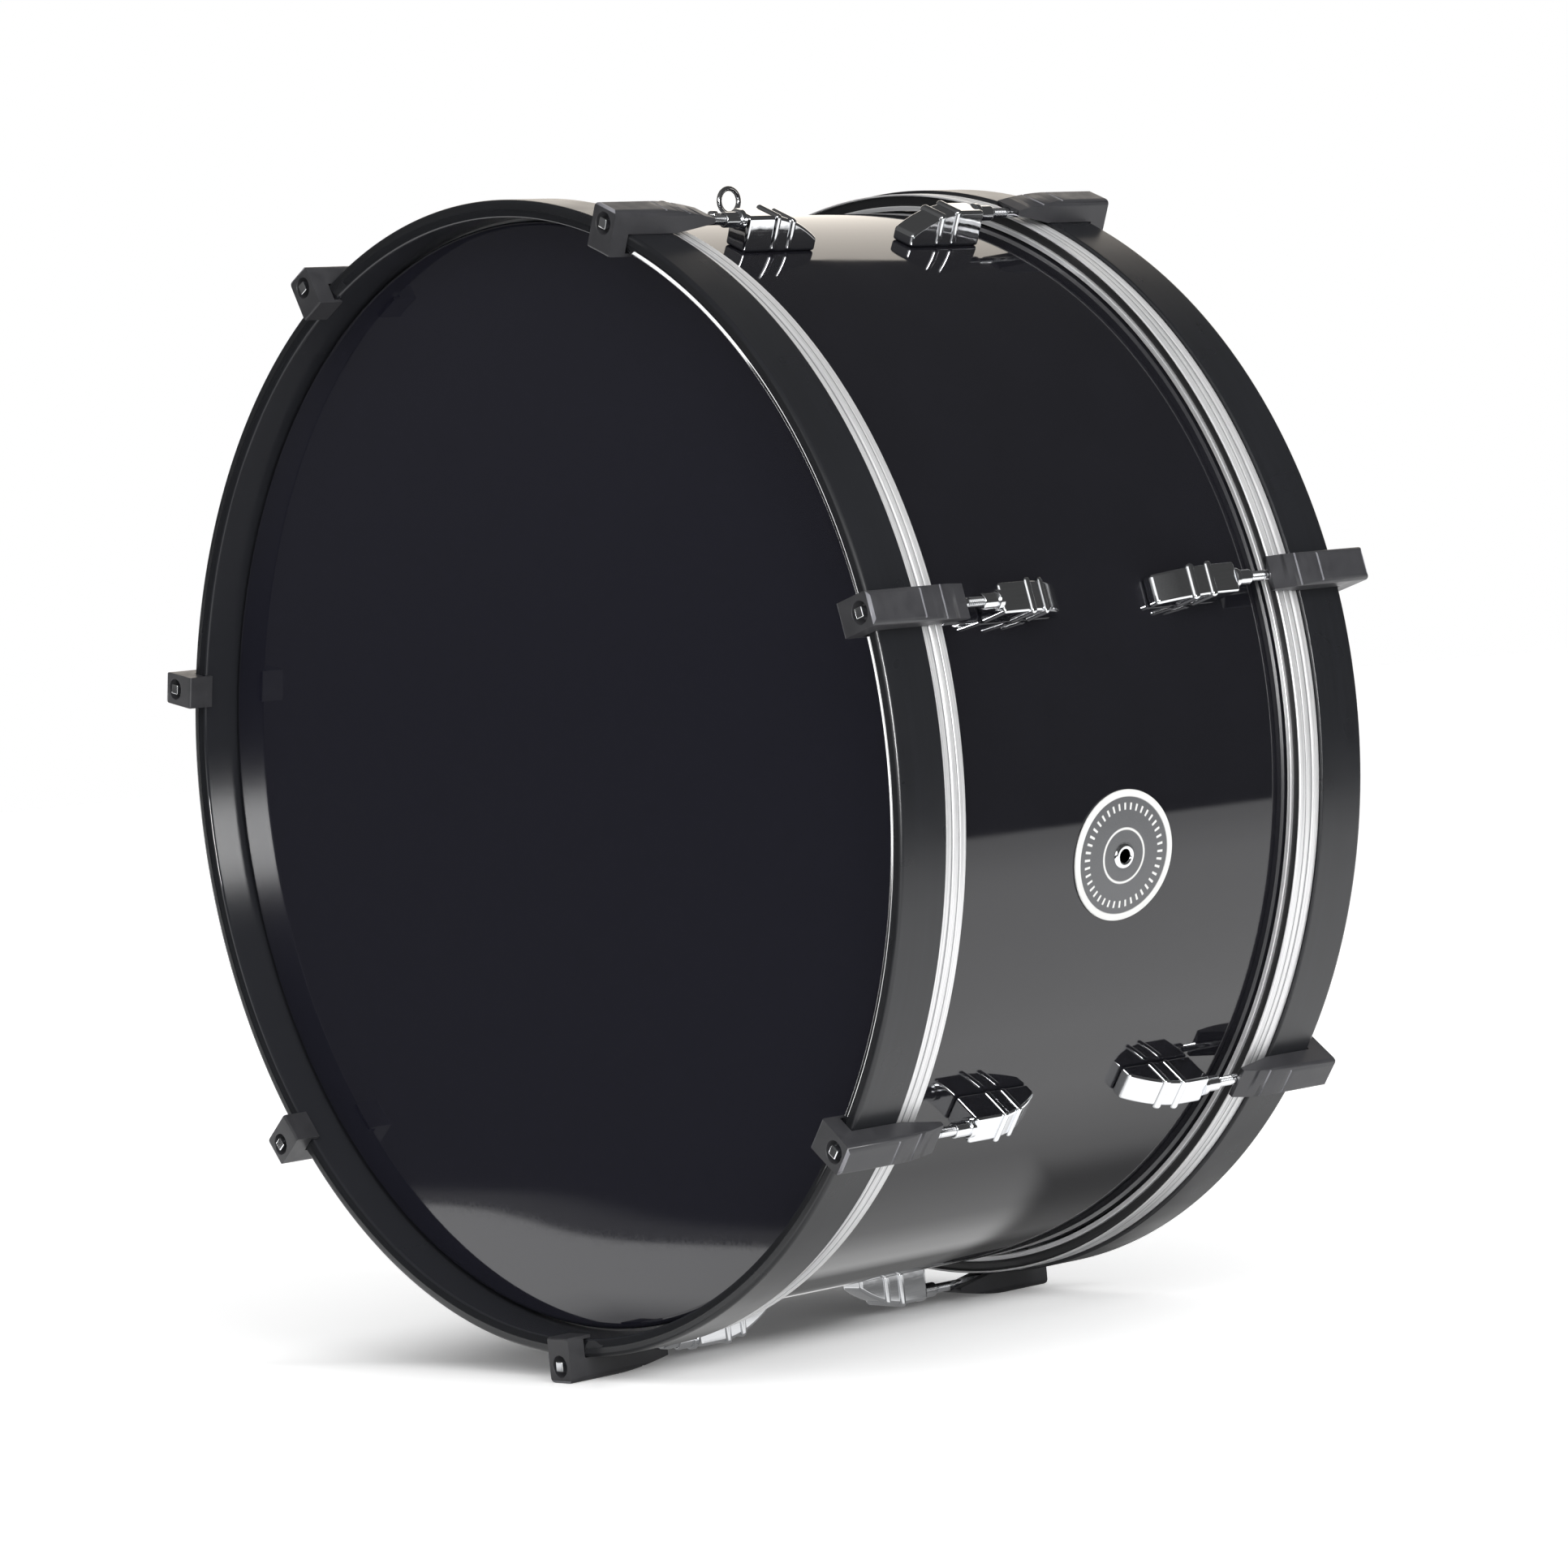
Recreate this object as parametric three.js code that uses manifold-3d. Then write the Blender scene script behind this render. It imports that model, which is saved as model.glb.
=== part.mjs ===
// A marching bass drum: a short wide shell with a drumhead at each end. Each head is stretched over
// the shell's bearing edge by a counterhoop, claws and key rods that screw into lugs on the shell.
// Millimetres, +Z up. The drum's axis lies along Y, its front head faces -Y, and it stands on the
// flat backs of its two lowest claws. The origin is on the floor under the middle of the drum.
import * as THREE from "three";
import { mergeVertices } from "three/addons/utils/BufferGeometryUtils.js";
import Module from "manifold-3d";

const wasm = await Module();
wasm.setup();

// Fits that every piece shares
const seatGap = 0.3; // between pieces that touch
const cutOverrun = 4; // how far a cutting body runs past what it cuts
const joinSink = 1; // how far a joined body starts inside its neighbour

// Shell
const shellRadius = 330;
const shellWall = 7;
const shellDepth = 311; // from bearing edge to bearing edge
const edgeCrown = 2.4; // width and fall of the rounded outer side of the bearing edge
const edgeCut = 4.6; // width and fall of the bevel on its inner side

// Stations round the shell
const stationCount = 7;
const facetsPerStation = 10;

// Drumhead film
const filmThickness = 0.7;
const filmBend = 3.2; // width and fall of the film's turn over the bearing edge
const collarDepth = 20.5; // how far the film's collar reaches down the shell

// Flesh hoop, the aluminium ring that grips the film
const fleshWidth = 16.3;
const fleshWall = 10.4;
const fleshGroove = 1.2; // depth of the groove rolled round it
const fleshLip = 5; // width of the band in front of the groove

// Counterhoop, the black hoop that presses on the flesh hoop
const hoopReach = 24.5; // how far its front edge stands out beyond the film
const hoopWidth = 33.4;
const hoopThickness = 10.8;
const hoopRound = 2.6; // its rounded corners
const hoopClearance = 2; // between the film's collar and the hoop's inner wall

// Claw
const clawWidth = 20;
const clawFront = 12; // how far its block stands out in front of the hoop
const clawCrown = 14.2; // how far its back stands out beyond the hoop
const clawFlat = 34; // length of its flat back
const clawLength = 74; // from its front face to its tip
const clawTipDrop = 5.6; // how far the back falls to the tip
const clawTipDepth = 3.1;
const clawCorner = 3.5; // rounded corners of its back
const clawLip = 5; // how far the hook reaches inside the hoop
const clawLipWall = 2;
const clawHeel = 2.6; // length of the arm's foot behind the hoop
const clawBackSteps = 4;
const headWellRadius = 6.5; // round well in the front face that the rod's head sits in
const headWellDepth = 8;
const wellFacets = 12;

// Key rod
const rodRise = 4.1; // height of its axis over the hoop's outer face
const rodRadius = 3;
const rodClearance = 0.35;
const keyHeadSide = 6.2;
const keyHeadLength = 6;
const rodFlangeRadius = 5.6;
const rodFlangeThickness = 2.4;
const rodEngagement = 28; // how far the rod reaches into its swivel nut
const rodFacets = 10;
const rodTaper = 1.2; // chamfer at its far end

// Lug and its swivel nut
const lugSetback = 55.5; // from the back of the counterhoop to the lug's rod end
const lugLength = 54.5;
const lugFlat = 16; // length of its level outer face
const lugHeight = 22;
const lugWidth = 18;
const lugToe = 8; // height of its blunt nose end
const lugNoseSteps = 5;
const bandWidth = 4.5;
const bandProud = 1; // how far a band stands out from the lug's sides and outer face
const firstBand = 21.5; // from the lug's rod end to the middle of each band
const secondBand = 33.5;
const nutReach = 12.5; // how far the swivel nut stands out of the lug
const nutRadius = 4.6;
const boreSpare = 2; // free depth past the rod's end

// Badge and air vent
const badgeStationShare = 1.5; // halfway between the first station up from the lowest and the next one
const badgeRadius = 38;
const badgeThickness = 0.9;
const badgeFacets = 36;
const ventBore = 4; // radius
const ventWall = 1;
const ventFlange = 3; // how far each flange stands out round the tube
const ventFlangeThickness = 1.1;
const ventFacets = 18;

// Carrying eyes at the top of the shell
const eyeSpread = 32; // from the drum's middle plane to each eye
const eyePlateLength = 38;
const eyePlateWidth = 15;
const eyePlateThickness = 2.2;
const eyeRingRadius = 7.6; // to the middle of the ring's wire
const eyeWireRadius = 1.6;
const eyeRingRise = 7.4; // from the plate's top to the ring's centre
const eyePlateCorner = 5;
const eyeRingFacets = 20;
const eyeWireFacets = 8;

// Places that follow from the sizes
const facets = stationCount * facetsPerStation;
const facetTurn = (2 * Math.PI) / facets;
const stationTurn = (2 * Math.PI) / stationCount;
const flatShare = Math.cos(facetTurn / 2); // a facet's distance from the axis, as a share of the radius
const halfShell = shellDepth / 2;
const filmFront = halfShell + seatGap + filmThickness;
const hoopFront = filmFront + hoopReach; // distance of the hoop's front edge from the middle
const collarRadius = shellRadius + seatGap;
const fleshInner = collarRadius + filmThickness + seatGap;
const fleshOuter = fleshInner + fleshWall;
const hoopInner = collarRadius + filmThickness + hoopClearance;
const hoopOuter = hoopInner + hoopThickness;
const hoopBack = hoopFront - hoopWidth;
const fleshFront = hoopBack - seatGap;
const fleshBack = fleshFront - fleshWidth;
const hoopFace = hoopOuter * flatShare; // the flat facet that a claw sits on
const clawBack = hoopFace + clawCrown;
const clawFace = hoopFront + clawFront;
const clawTip = clawFace - clawLength;
const rodAxis = hoopFace + rodRise;
const wellFloor = clawFace - headWellDepth;
const lugRodEnd = hoopBack - lugSetback;
const nutMouth = lugRodEnd + nutReach;
const rodEnd = nutMouth - rodEngagement;
const shellFace = shellRadius * flatShare; // the flat facet that a lug sits on
const lugBase = shellFace + seatGap;
const lugTop = lugBase + lugHeight;
const lowestStation = -Math.PI / 2;
const badgeTurn = lowestStation + badgeStationShare * stationTurn;
const ventTube = ventBore + ventWall;
const ventHole = ventTube + seatGap;
const eyeTurn = Math.asin(eyeSpread / (shellRadius + eyeRingRise));

// Finishes
const finishes = {
  shell: { color: 0x17171b, roughness: 0.08, metalness: 0 },
  film: { color: 0x1b1b20, roughness: 0.15, metalness: 0 },
  hoop: { color: 0x232425, roughness: 0.35, metalness: 0 },
  flesh: { color: 0xd4d6d8, roughness: 0.3, metalness: 1 },
  claw: { color: 0x3b3b3d, roughness: 0.45, metalness: 0.2 },
  chrome: { color: 0xe2e4e6, roughness: 0.06, metalness: 1 },
  badge: { color: 0x707274, roughness: 0.35, metalness: 0.3 },
  vent: { color: 0xc9c9c9, roughness: 0.2, metalness: 1 },
};
const materials = Object.fromEntries(
  Object.entries(finishes).map(([name, look]) => [name, new THREE.MeshStandardMaterial(look)]),
);

const drum = new THREE.Group();
drum.position.z = clawBack;

// Turns a closed three.js geometry into a solid that can be joined and cut.
function solid(geometry) {
  const bare = geometry.clone();
  bare.deleteAttribute("normal");
  bare.deleteAttribute("uv");
  const merged = mergeVertices(bare);
  return new wasm.Manifold(
    new wasm.Mesh({
      numProp: 3,
      vertProperties: merged.attributes.position.array,
      triVerts: new Uint32Array(merged.index.array),
    }),
  );
}

// Turns a solid back into a geometry.
function geometryOf(body) {
  const mesh = body.getMesh();
  const geometry = new THREE.BufferGeometry();
  geometry.setAttribute("position", new THREE.BufferAttribute(mesh.vertProperties, 3));
  geometry.setIndex(new THREE.BufferAttribute(mesh.triVerts, 1));
  geometry.computeVertexNormals();
  return geometry;
}

function named(name, geometry, finish) {
  const mesh = new THREE.Mesh(geometry, materials[finish]);
  mesh.name = name;
  return mesh;
}

// A ring round the drum's axis from a closed outline of [radius, distance along the axis] points,
// listed so that it runs towards +Y on its outer side. Its flat facets face the stations when it is
// turned by half a facet in the drum's frame, and as it is in a station's own frame.
function ring(outline, turned) {
  const points = outline.map(([radius, along]) => new THREE.Vector2(radius, along));
  points.push(points[0].clone());
  return new THREE.LatheGeometry(points, facets, turned);
}

// A flat outline of [radius, distance along the axis] points, as thick as width, centred on its station.
function slab(outline, width) {
  const shape = new THREE.Shape(outline.map(([radius, along]) => new THREE.Vector2(radius, along)));
  const geometry = new THREE.ExtrudeGeometry(shape, { depth: width, bevelEnabled: false });
  return geometry.translate(0, 0, -width / 2);
}

// A round bar along the drum's axis, standing at a radius, from one distance to another.
function bar(radius, at, from, to, sides) {
  const length = Math.abs(to - from);
  return new THREE.CylinderGeometry(radius, radius, length, sides).translate(at, (from + to) / 2, 0);
}

// Puts a piece at a station. It is modelled at the +X side of the front end, with X as its radius and
// -Y out of the drum. The rear end is the same piece turned over about its radius.
function atStation(mesh, turn, rear) {
  const side = new THREE.Group();
  side.rotation.x = rear ? Math.PI : 0;
  side.add(mesh);
  const station = new THREE.Group();
  station.rotation.y = -turn;
  station.add(side);
  drum.add(station);
}

// The shell is a plain tube with a rounded and bevelled bearing edge at each end, and a vent hole.
function shellGeometry() {
  const inner = shellRadius - shellWall;
  const peak = shellRadius - edgeCrown;
  const tube = ring([
    [shellRadius, edgeCrown - halfShell],
    [shellRadius, halfShell - edgeCrown],
    [peak, halfShell],
    [inner, halfShell - edgeCut],
    [inner, edgeCut - halfShell],
    [peak, -halfShell],
  ], facetTurn / 2);
  const reach = shellWall + cutOverrun + cutOverrun;
  const hole = new THREE.CylinderGeometry(ventHole, ventHole, reach, ventFacets);
  hole.rotateZ(Math.PI / 2).translate(shellRadius - shellWall / 2, 0, 0).rotateY(-badgeTurn);
  return geometryOf(solid(tube).subtract(solid(hole)));
}

// The film is flat inside the bearing edge, turns over it and runs down the shell as a collar.
function filmGeometry() {
  const outer = collarRadius + filmThickness;
  const collarEnd = filmFront - collarDepth;
  const points = [
    [0, -filmFront],
    [outer - filmBend, -filmFront],
    [outer - filmBend / 4, filmBend / 4 - filmFront],
    [outer, filmBend - filmFront],
    [outer, -collarEnd],
    [collarRadius, -collarEnd],
    [collarRadius, edgeCrown - halfShell],
    [shellRadius - edgeCrown, filmThickness - filmFront],
    [0, filmThickness - filmFront],
  ].map(([radius, along]) => new THREE.Vector2(radius, along));
  return new THREE.LatheGeometry(points, facets, facetTurn / 2);
}

// The flesh hoop is an aluminium ring with a groove rolled round its outer face.
function fleshGeometry() {
  const groove = fleshOuter - fleshGroove;
  const grooveFront = fleshFront - fleshLip;
  const grooveBack = grooveFront - fleshGroove - fleshGroove;
  return ring([
    [fleshInner, -fleshFront],
    [fleshOuter, -fleshFront],
    [fleshOuter, -grooveFront],
    [groove, fleshGroove - grooveFront],
    [fleshOuter, -grooveBack],
    [fleshOuter, -fleshBack],
    [fleshInner, -fleshBack],
  ], facetTurn / 2);
}

// The counterhoop is a broad flat hoop with its four corners rounded off.
function hoopGeometry() {
  return ring([
    [hoopInner + hoopRound, -hoopFront],
    [hoopOuter - hoopRound, -hoopFront],
    [hoopOuter, hoopRound - hoopFront],
    [hoopOuter, -hoopBack - hoopRound],
    [hoopOuter - hoopRound, -hoopBack],
    [hoopInner + hoopRound, -hoopBack],
    [hoopInner, -hoopBack - hoopRound],
    [hoopInner, hoopRound - hoopFront],
  ], facetTurn / 2);
}

// The claw seen from its side: a deep block that hooks over the hoop's front edge, a flat back, and
// an arm that falls in a long curve to a thin tip over the rod.
function clawOutline() {
  const seat = hoopFace + seatGap;
  const lipOuter = hoopInner * flatShare - seatGap;
  const lipInner = lipOuter - clawLipWall;
  const hookFace = hoopFront + seatGap;
  const lipEnd = hoopFront - clawLip;
  const flatEnd = clawFace - clawFlat;
  const heelEnd = hoopBack - clawHeel;
  const back = [];
  for (let step = 0; step <= clawBackSteps; step += 1) {
    const share = step / clawBackSteps;
    back.push([clawBack - clawTipDrop * share ** 1.5, flatEnd + (clawTip - flatEnd) * share]);
  }
  const tipUnder = clawBack - clawTipDrop - clawTipDepth;
  const outline = [
    [lipInner, clawFace],
    [clawBack, clawFace],
    ...back,
    [tipUnder, clawTip],
    [seat, heelEnd],
    [seat, hookFace],
    [lipOuter, hookFace],
    [lipOuter, lipEnd],
    [lipInner, lipEnd],
  ];
  return outline.map(([radius, along]) => [radius, -along]);
}

// The claw seen from the front, as long as the claw: its back has rounded corners.
function clawFrontPrism() {
  const half = clawWidth / 2;
  const inner = hoopInner - clawLipWall - clawLip;
  const shape = new THREE.Shape();
  shape.moveTo(inner, -half);
  shape.lineTo(clawBack - clawCorner, -half);
  shape.quadraticCurveTo(clawBack, -half, clawBack, clawCorner - half);
  shape.lineTo(clawBack, half - clawCorner);
  shape.quadraticCurveTo(clawBack, half, clawBack - clawCorner, half);
  shape.lineTo(inner, half);
  const depth = clawLength + cutOverrun + cutOverrun;
  const prism = new THREE.ExtrudeGeometry(shape, { depth, bevelEnabled: false, curveSegments: 3 });
  return prism.rotateX(Math.PI / 2).translate(0, cutOverrun - clawTip, 0);
}

function clawGeometry() {
  const holeRadius = rodRadius + rodClearance;
  const body = solid(slab(clawOutline(), clawWidth)).intersect(solid(clawFrontPrism()));
  const far = -clawTip + cutOverrun;
  const well = bar(headWellRadius, rodAxis, -wellFloor, -clawFace - cutOverrun, wellFacets);
  const hole = bar(holeRadius, rodAxis, -clawFace - cutOverrun, far, rodFacets);
  const under = hoopFace - cutOverrun;
  const channel = slab(
    [
      [under, -hoopFront],
      [rodAxis, -hoopFront],
      [rodAxis, far],
      [under, far],
    ],
    holeRadius + holeRadius,
  );
  return geometryOf(body.subtract(solid(well)).subtract(solid(hole)).subtract(solid(channel)));
}

// The key rod: a square head for the drum key, a flange that pulls on the claw, and a long screw.
function rodGeometry() {
  const flangeBack = wellFloor + seatGap;
  const flangeFront = flangeBack + rodFlangeThickness;
  const headFront = flangeFront + keyHeadLength;
  const shank = new THREE.LatheGeometry(
    [
      [0, -flangeFront],
      [rodFlangeRadius, -flangeFront],
      [rodFlangeRadius, -flangeBack],
      [rodRadius, -flangeBack],
      [rodRadius, -rodEnd - rodTaper],
      [rodRadius - rodTaper, -rodEnd],
      [0, -rodEnd],
    ].map(([radius, along]) => new THREE.Vector2(radius, along)),
    rodFacets,
  ).translate(rodAxis, 0, 0);
  const headLength = keyHeadLength + joinSink;
  const head = new THREE.BoxGeometry(keyHeadSide, headLength, keyHeadSide);
  head.translate(rodAxis, headLength / 2 - headFront, 0);
  return geometryOf(solid(shank).add(solid(head)));
}

// The lug seen from its side, grown by a margin: a square rod end, a level face that bends down ever
// more steeply, and a blunt nose.
function lugOutline(margin) {
  const noseStart = lugRodEnd - lugFlat;
  const noseEnd = lugRodEnd - lugLength;
  const rise = lugHeight - lugToe;
  const nose = [];
  for (let step = 0; step <= lugNoseSteps; step += 1) {
    const share = step / lugNoseSteps;
    nose.push([lugTop - rise * share ** 2 + margin, noseStart + (noseEnd - noseStart) * share]);
  }
  const outline = [[lugBase, lugRodEnd], [lugTop + margin, lugRodEnd], ...nose, [lugBase, noseEnd]];
  return outline.map(([radius, along]) => [radius, -along]);
}

// The lug is a casting with two bands round it. Its swivel nut shows at the rod end.
function lugGeometry() {
  let body = solid(slab(lugOutline(0), lugWidth));
  const grown = solid(slab(lugOutline(bandProud), lugWidth + bandProud + bandProud));
  for (const place of [firstBand, secondBand]) {
    const reach = lugHeight + cutOverrun + cutOverrun;
    const slice = new THREE.BoxGeometry(reach, bandWidth, lugWidth + cutOverrun);
    slice.translate(lugBase + reach / 2, place - lugRodEnd, 0);
    body = body.add(grown.intersect(solid(slice)));
  }
  const nut = bar(nutRadius, rodAxis, -nutMouth, joinSink - lugRodEnd, wellFacets);
  const boreEnd = boreSpare - rodEnd;
  const bore = bar(rodRadius + rodClearance, rodAxis, -nutMouth - cutOverrun, boreEnd, rodFacets);
  return geometryOf(body.add(solid(nut)).subtract(solid(bore)));
}

// The badge is a thin disc bent round the shell, with a hole for the vent.
function badgeGeometry() {
  const inner = shellRadius + seatGap;
  const outer = inner + badgeThickness;
  const sleeve = ring([
    [inner, -badgeRadius - cutOverrun],
    [outer, -badgeRadius - cutOverrun],
    [outer, badgeRadius + cutOverrun],
    [inner, badgeRadius + cutOverrun],
  ], 0);
  const punch = new THREE.CylinderGeometry(badgeRadius, badgeRadius, shellRadius, badgeFacets);
  punch.rotateZ(Math.PI / 2).translate(shellRadius, 0, 0);
  const hole = new THREE.CylinderGeometry(ventHole, ventHole, shellRadius, ventFacets);
  hole.rotateZ(Math.PI / 2).translate(shellRadius, 0, 0);
  return geometryOf(solid(sleeve).intersect(solid(punch)).subtract(solid(hole)));
}

// The air vent is an eyelet: a tube through badge and shell with a flange at each end.
function ventGeometry() {
  const flangeRadius = ventTube + ventFlange;
  const outside = shellRadius + seatGap + badgeThickness + seatGap;
  const inside = (shellRadius - shellWall) * flatShare - seatGap;
  const top = outside + ventFlangeThickness;
  const bottom = inside - ventFlangeThickness;
  const outline = [
    [ventBore, bottom],
    [flangeRadius, bottom],
    [flangeRadius, inside],
    [ventTube, inside],
    [ventTube, outside],
    [flangeRadius, outside],
    [flangeRadius - ventFlangeThickness, top],
    [ventBore, top],
    [ventBore, bottom],
  ].map(([radius, along]) => new THREE.Vector2(radius, along));
  return new THREE.LatheGeometry(outline, ventFacets).rotateZ(-Math.PI / 2);
}

// A carrying eye is a ring standing on a plate with rounded ends. The ring's hole looks sideways.
function eyeGeometry() {
  const half = eyePlateWidth / 2;
  const end = eyePlateLength / 2;
  const shape = new THREE.Shape();
  shape.moveTo(-half, eyePlateCorner - end);
  shape.quadraticCurveTo(-half, -end, eyePlateCorner - half, -end);
  shape.lineTo(half - eyePlateCorner, -end);
  shape.quadraticCurveTo(half, -end, half, eyePlateCorner - end);
  shape.lineTo(half, end - eyePlateCorner);
  shape.quadraticCurveTo(half, end, half - eyePlateCorner, end);
  shape.lineTo(eyePlateCorner - half, end);
  shape.quadraticCurveTo(-half, end, -half, end - eyePlateCorner);
  const plate = new THREE.ExtrudeGeometry(shape, {
    depth: eyePlateThickness,
    bevelEnabled: false,
    curveSegments: 3,
  });
  plate.rotateY(Math.PI / 2).translate(shellRadius + seatGap, 0, 0);
  const loop = new THREE.TorusGeometry(eyeRingRadius, eyeWireRadius, eyeWireFacets, eyeRingFacets);
  loop.translate(shellRadius + seatGap + eyePlateThickness + eyeRingRise, 0, 0);
  const trim = new THREE.BoxGeometry(eyeRingRise + eyeRingRise, eyePlateLength, eyePlateWidth);
  trim.translate(shellRadius + seatGap + eyePlateThickness / 2 - eyeRingRise, 0, 0);
  const standing = solid(loop).subtract(solid(trim));
  return geometryOf(solid(plate).add(standing));
}

drum.add(named("shell", shellGeometry(), "shell"));
for (const rear of [false, true]) {
  const end = rear ? "rear" : "front";
  const side = new THREE.Group();
  side.rotation.x = rear ? Math.PI : 0;
  side.add(named(`${end}_head_film`, filmGeometry(), "film"));
  side.add(named(`${end}_flesh_hoop`, fleshGeometry(), "flesh"));
  side.add(named(`${end}_counterhoop`, hoopGeometry(), "hoop"));
  drum.add(side);
  for (let station = 0; station < stationCount; station += 1) {
    const turn = lowestStation + station * stationTurn;
    atStation(named(`${end}_claw_${station + 1}`, clawGeometry(), "claw"), turn, rear);
    atStation(named(`${end}_key_rod_${station + 1}`, rodGeometry(), "chrome"), turn, rear);
    atStation(named(`${end}_lug_${station + 1}`, lugGeometry(), "chrome"), turn, rear);
  }
}
atStation(named("badge", badgeGeometry(), "badge"), badgeTurn, false);
atStation(named("air_vent", ventGeometry(), "vent"), badgeTurn, false);
atStation(named("carrying_eye_right", eyeGeometry(), "chrome"), Math.PI / 2 - eyeTurn, false);
atStation(named("carrying_eye_left", eyeGeometry(), "chrome"), Math.PI / 2 + eyeTurn, false);

export default drum;
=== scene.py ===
import math

import bmesh
import bpy
from mathutils import Euler, Matrix, Vector


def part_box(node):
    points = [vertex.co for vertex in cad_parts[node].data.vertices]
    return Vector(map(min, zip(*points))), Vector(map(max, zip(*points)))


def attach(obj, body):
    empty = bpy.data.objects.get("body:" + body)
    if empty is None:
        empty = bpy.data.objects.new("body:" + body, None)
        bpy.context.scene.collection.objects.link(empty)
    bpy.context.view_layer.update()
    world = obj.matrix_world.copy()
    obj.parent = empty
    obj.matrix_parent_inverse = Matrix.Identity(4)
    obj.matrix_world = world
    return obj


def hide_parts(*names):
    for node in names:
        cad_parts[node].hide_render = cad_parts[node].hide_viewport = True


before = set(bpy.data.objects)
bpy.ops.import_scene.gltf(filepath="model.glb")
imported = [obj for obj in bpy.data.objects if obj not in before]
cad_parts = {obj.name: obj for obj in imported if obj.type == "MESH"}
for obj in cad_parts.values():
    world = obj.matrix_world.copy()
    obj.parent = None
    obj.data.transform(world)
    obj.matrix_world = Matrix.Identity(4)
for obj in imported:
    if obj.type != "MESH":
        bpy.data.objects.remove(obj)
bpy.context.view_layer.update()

MM = 0.001
X, Y, Z = range(3)


def measured(node, axis):
    """Where a solid starts and ends along an axis, in millimetres. Distances from the drum's middle plane
    are read at the rear end, where they are positive."""
    return [round(corner[axis] / MM, 3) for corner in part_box(node)]


# Sizes in millimetres. A piece is modelled at the +X side of the front end: X is its radius from the
# drum's axis, -Y leads out of the drum, and Z runs round the shell.
STATIONS = 7
RING_STEPS = 280
CURVE_STEPS = 10
TOUCHING = 0.001
QUARTER_TURN = math.pi / 2
AXIS_HEIGHT = sum(measured("rear_counterhoop", Z)) / 2

SHELL_RADIUS = max(measured("shell", X))
SHELL_INSIDE = SHELL_RADIUS - 7.0
CROWN_INSIDE = SHELL_RADIUS - 2.8
BEARING_EDGE = max(measured("shell", Y))
BEVEL_DEPTH = 4.2
FITTING_FOOT = SHELL_RADIUS + 0.3

FILM_THICKNESS = 0.7
FILM_OUTSIDE = max(measured("rear_head_film", X))
FILM_INSIDE = FILM_OUTSIDE - FILM_THICKNESS
FILM_SKIRT, FILM_FACE = measured("rear_head_film", Y)
FILM_RING = 120.0

FLESH_INSIDE = FILM_OUTSIDE + 0.3
FLESH_CROWN = max(measured("rear_flesh_hoop", X))
FLESH_BACK, FLESH_FRONT = measured("rear_flesh_hoop", Y)
WIDE_GROOVE = 141.1
FINE_GROOVE = 136.2
CHANNEL_FLOOR = FLESH_BACK + 4.0
CHANNEL_INSIDE = FLESH_INSIDE + 2.9
CHANNEL_OUTSIDE = FLESH_CROWN - 1.3
RESIN_GAP = 0.1

HOOP_INSIDE = FILM_OUTSIDE + 2.0
HOOP_OUTSIDE = max(measured("rear_counterhoop", X)) - 0.15
HOOP_BACK, HOOP_FRONT = measured("rear_counterhoop", Y)
EASED_WIDTH = 4.5

# The drum stands on the flat backs of its two lowest claws.
CLAW_BACK = AXIS_HEIGHT
CLAW_TIP, CLAW_FACE = measured("rear_claw_1", Y)
CLAW_CREASE = 159.0
CLAW_FALL = 5.6
CLAW_WIDTH = 20.0
TIP_THICKNESS = 3.1
SEAT_RADIUS = HOOP_OUTSIDE + 0.11
SEAT_FRONT = HOOP_FRONT + 0.3
SEAT_BACK = 145.0
HOOK_INSIDE = 330.36
HOOK_LIP = HOOK_INSIDE + 2.0
HOOK_END = HOOP_FRONT - 5.0
ARM_GROOVES = ((357.0, 155.6), (355.2, 139.1))
GROOVE_WIDTH = 1.3
CUT_START = CLAW_FACE + 3.0
CUT_END = 100.0
BELOW_CLAW = 320.0
BELOW_SEAT = 338.0
ABOVE_CLAW = 370.0

ROD_AXIS = CLAW_BACK - 10.1
ROD_RADIUS = 3.0
ROD_END = min(measured("rear_key_rod_1", Y))
ROD_CENTRE = (ROD_AXIS, 0, 0)
WELL_FLOOR = CLAW_FACE - 8.0
WELL_RADIUS = 6.5
HOLE_RADIUS = 3.4
FLANGE_RADIUS = 5.6
FLANGE_BACK = WELL_FLOOR + 0.3
FLANGE_FRONT = FLANGE_BACK + 2.4
HEAD_WIDTH = 6.2
HEAD_LENGTH = 7.0
HEAD_SUNK = 1.0
THREAD_START = 116.0
THREAD_DEPTH = 0.55
THREAD_PITCH = 1.0
CREST_WIDTH = 0.12

LUG_NOSE, NUT_MOUTH = measured("rear_lug_1", Y)
NUT_BORE = ROD_RADIUS + 0.15
NUT_RADIUS = 4.6
COLLAR_RADIUS = 6.0
LUG_END = NUT_MOUTH - 12.5
LUG_LEVEL = LUG_END - 16.0
LUG_BASE = SHELL_RADIUS - 0.03
LUG_TOP = LUG_BASE + 22.0
LUG_TOE = 8.0
LUG_WIDTH = 18.0
LUG_BANDS = (LUG_END - 21.5, LUG_END - 33.5)
BAND_WIDTH = 4.5
RIB_HEIGHT = 1.7
WASHER_RADIUS = 6.5
SCREW_RADIUS = 4.6

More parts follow.
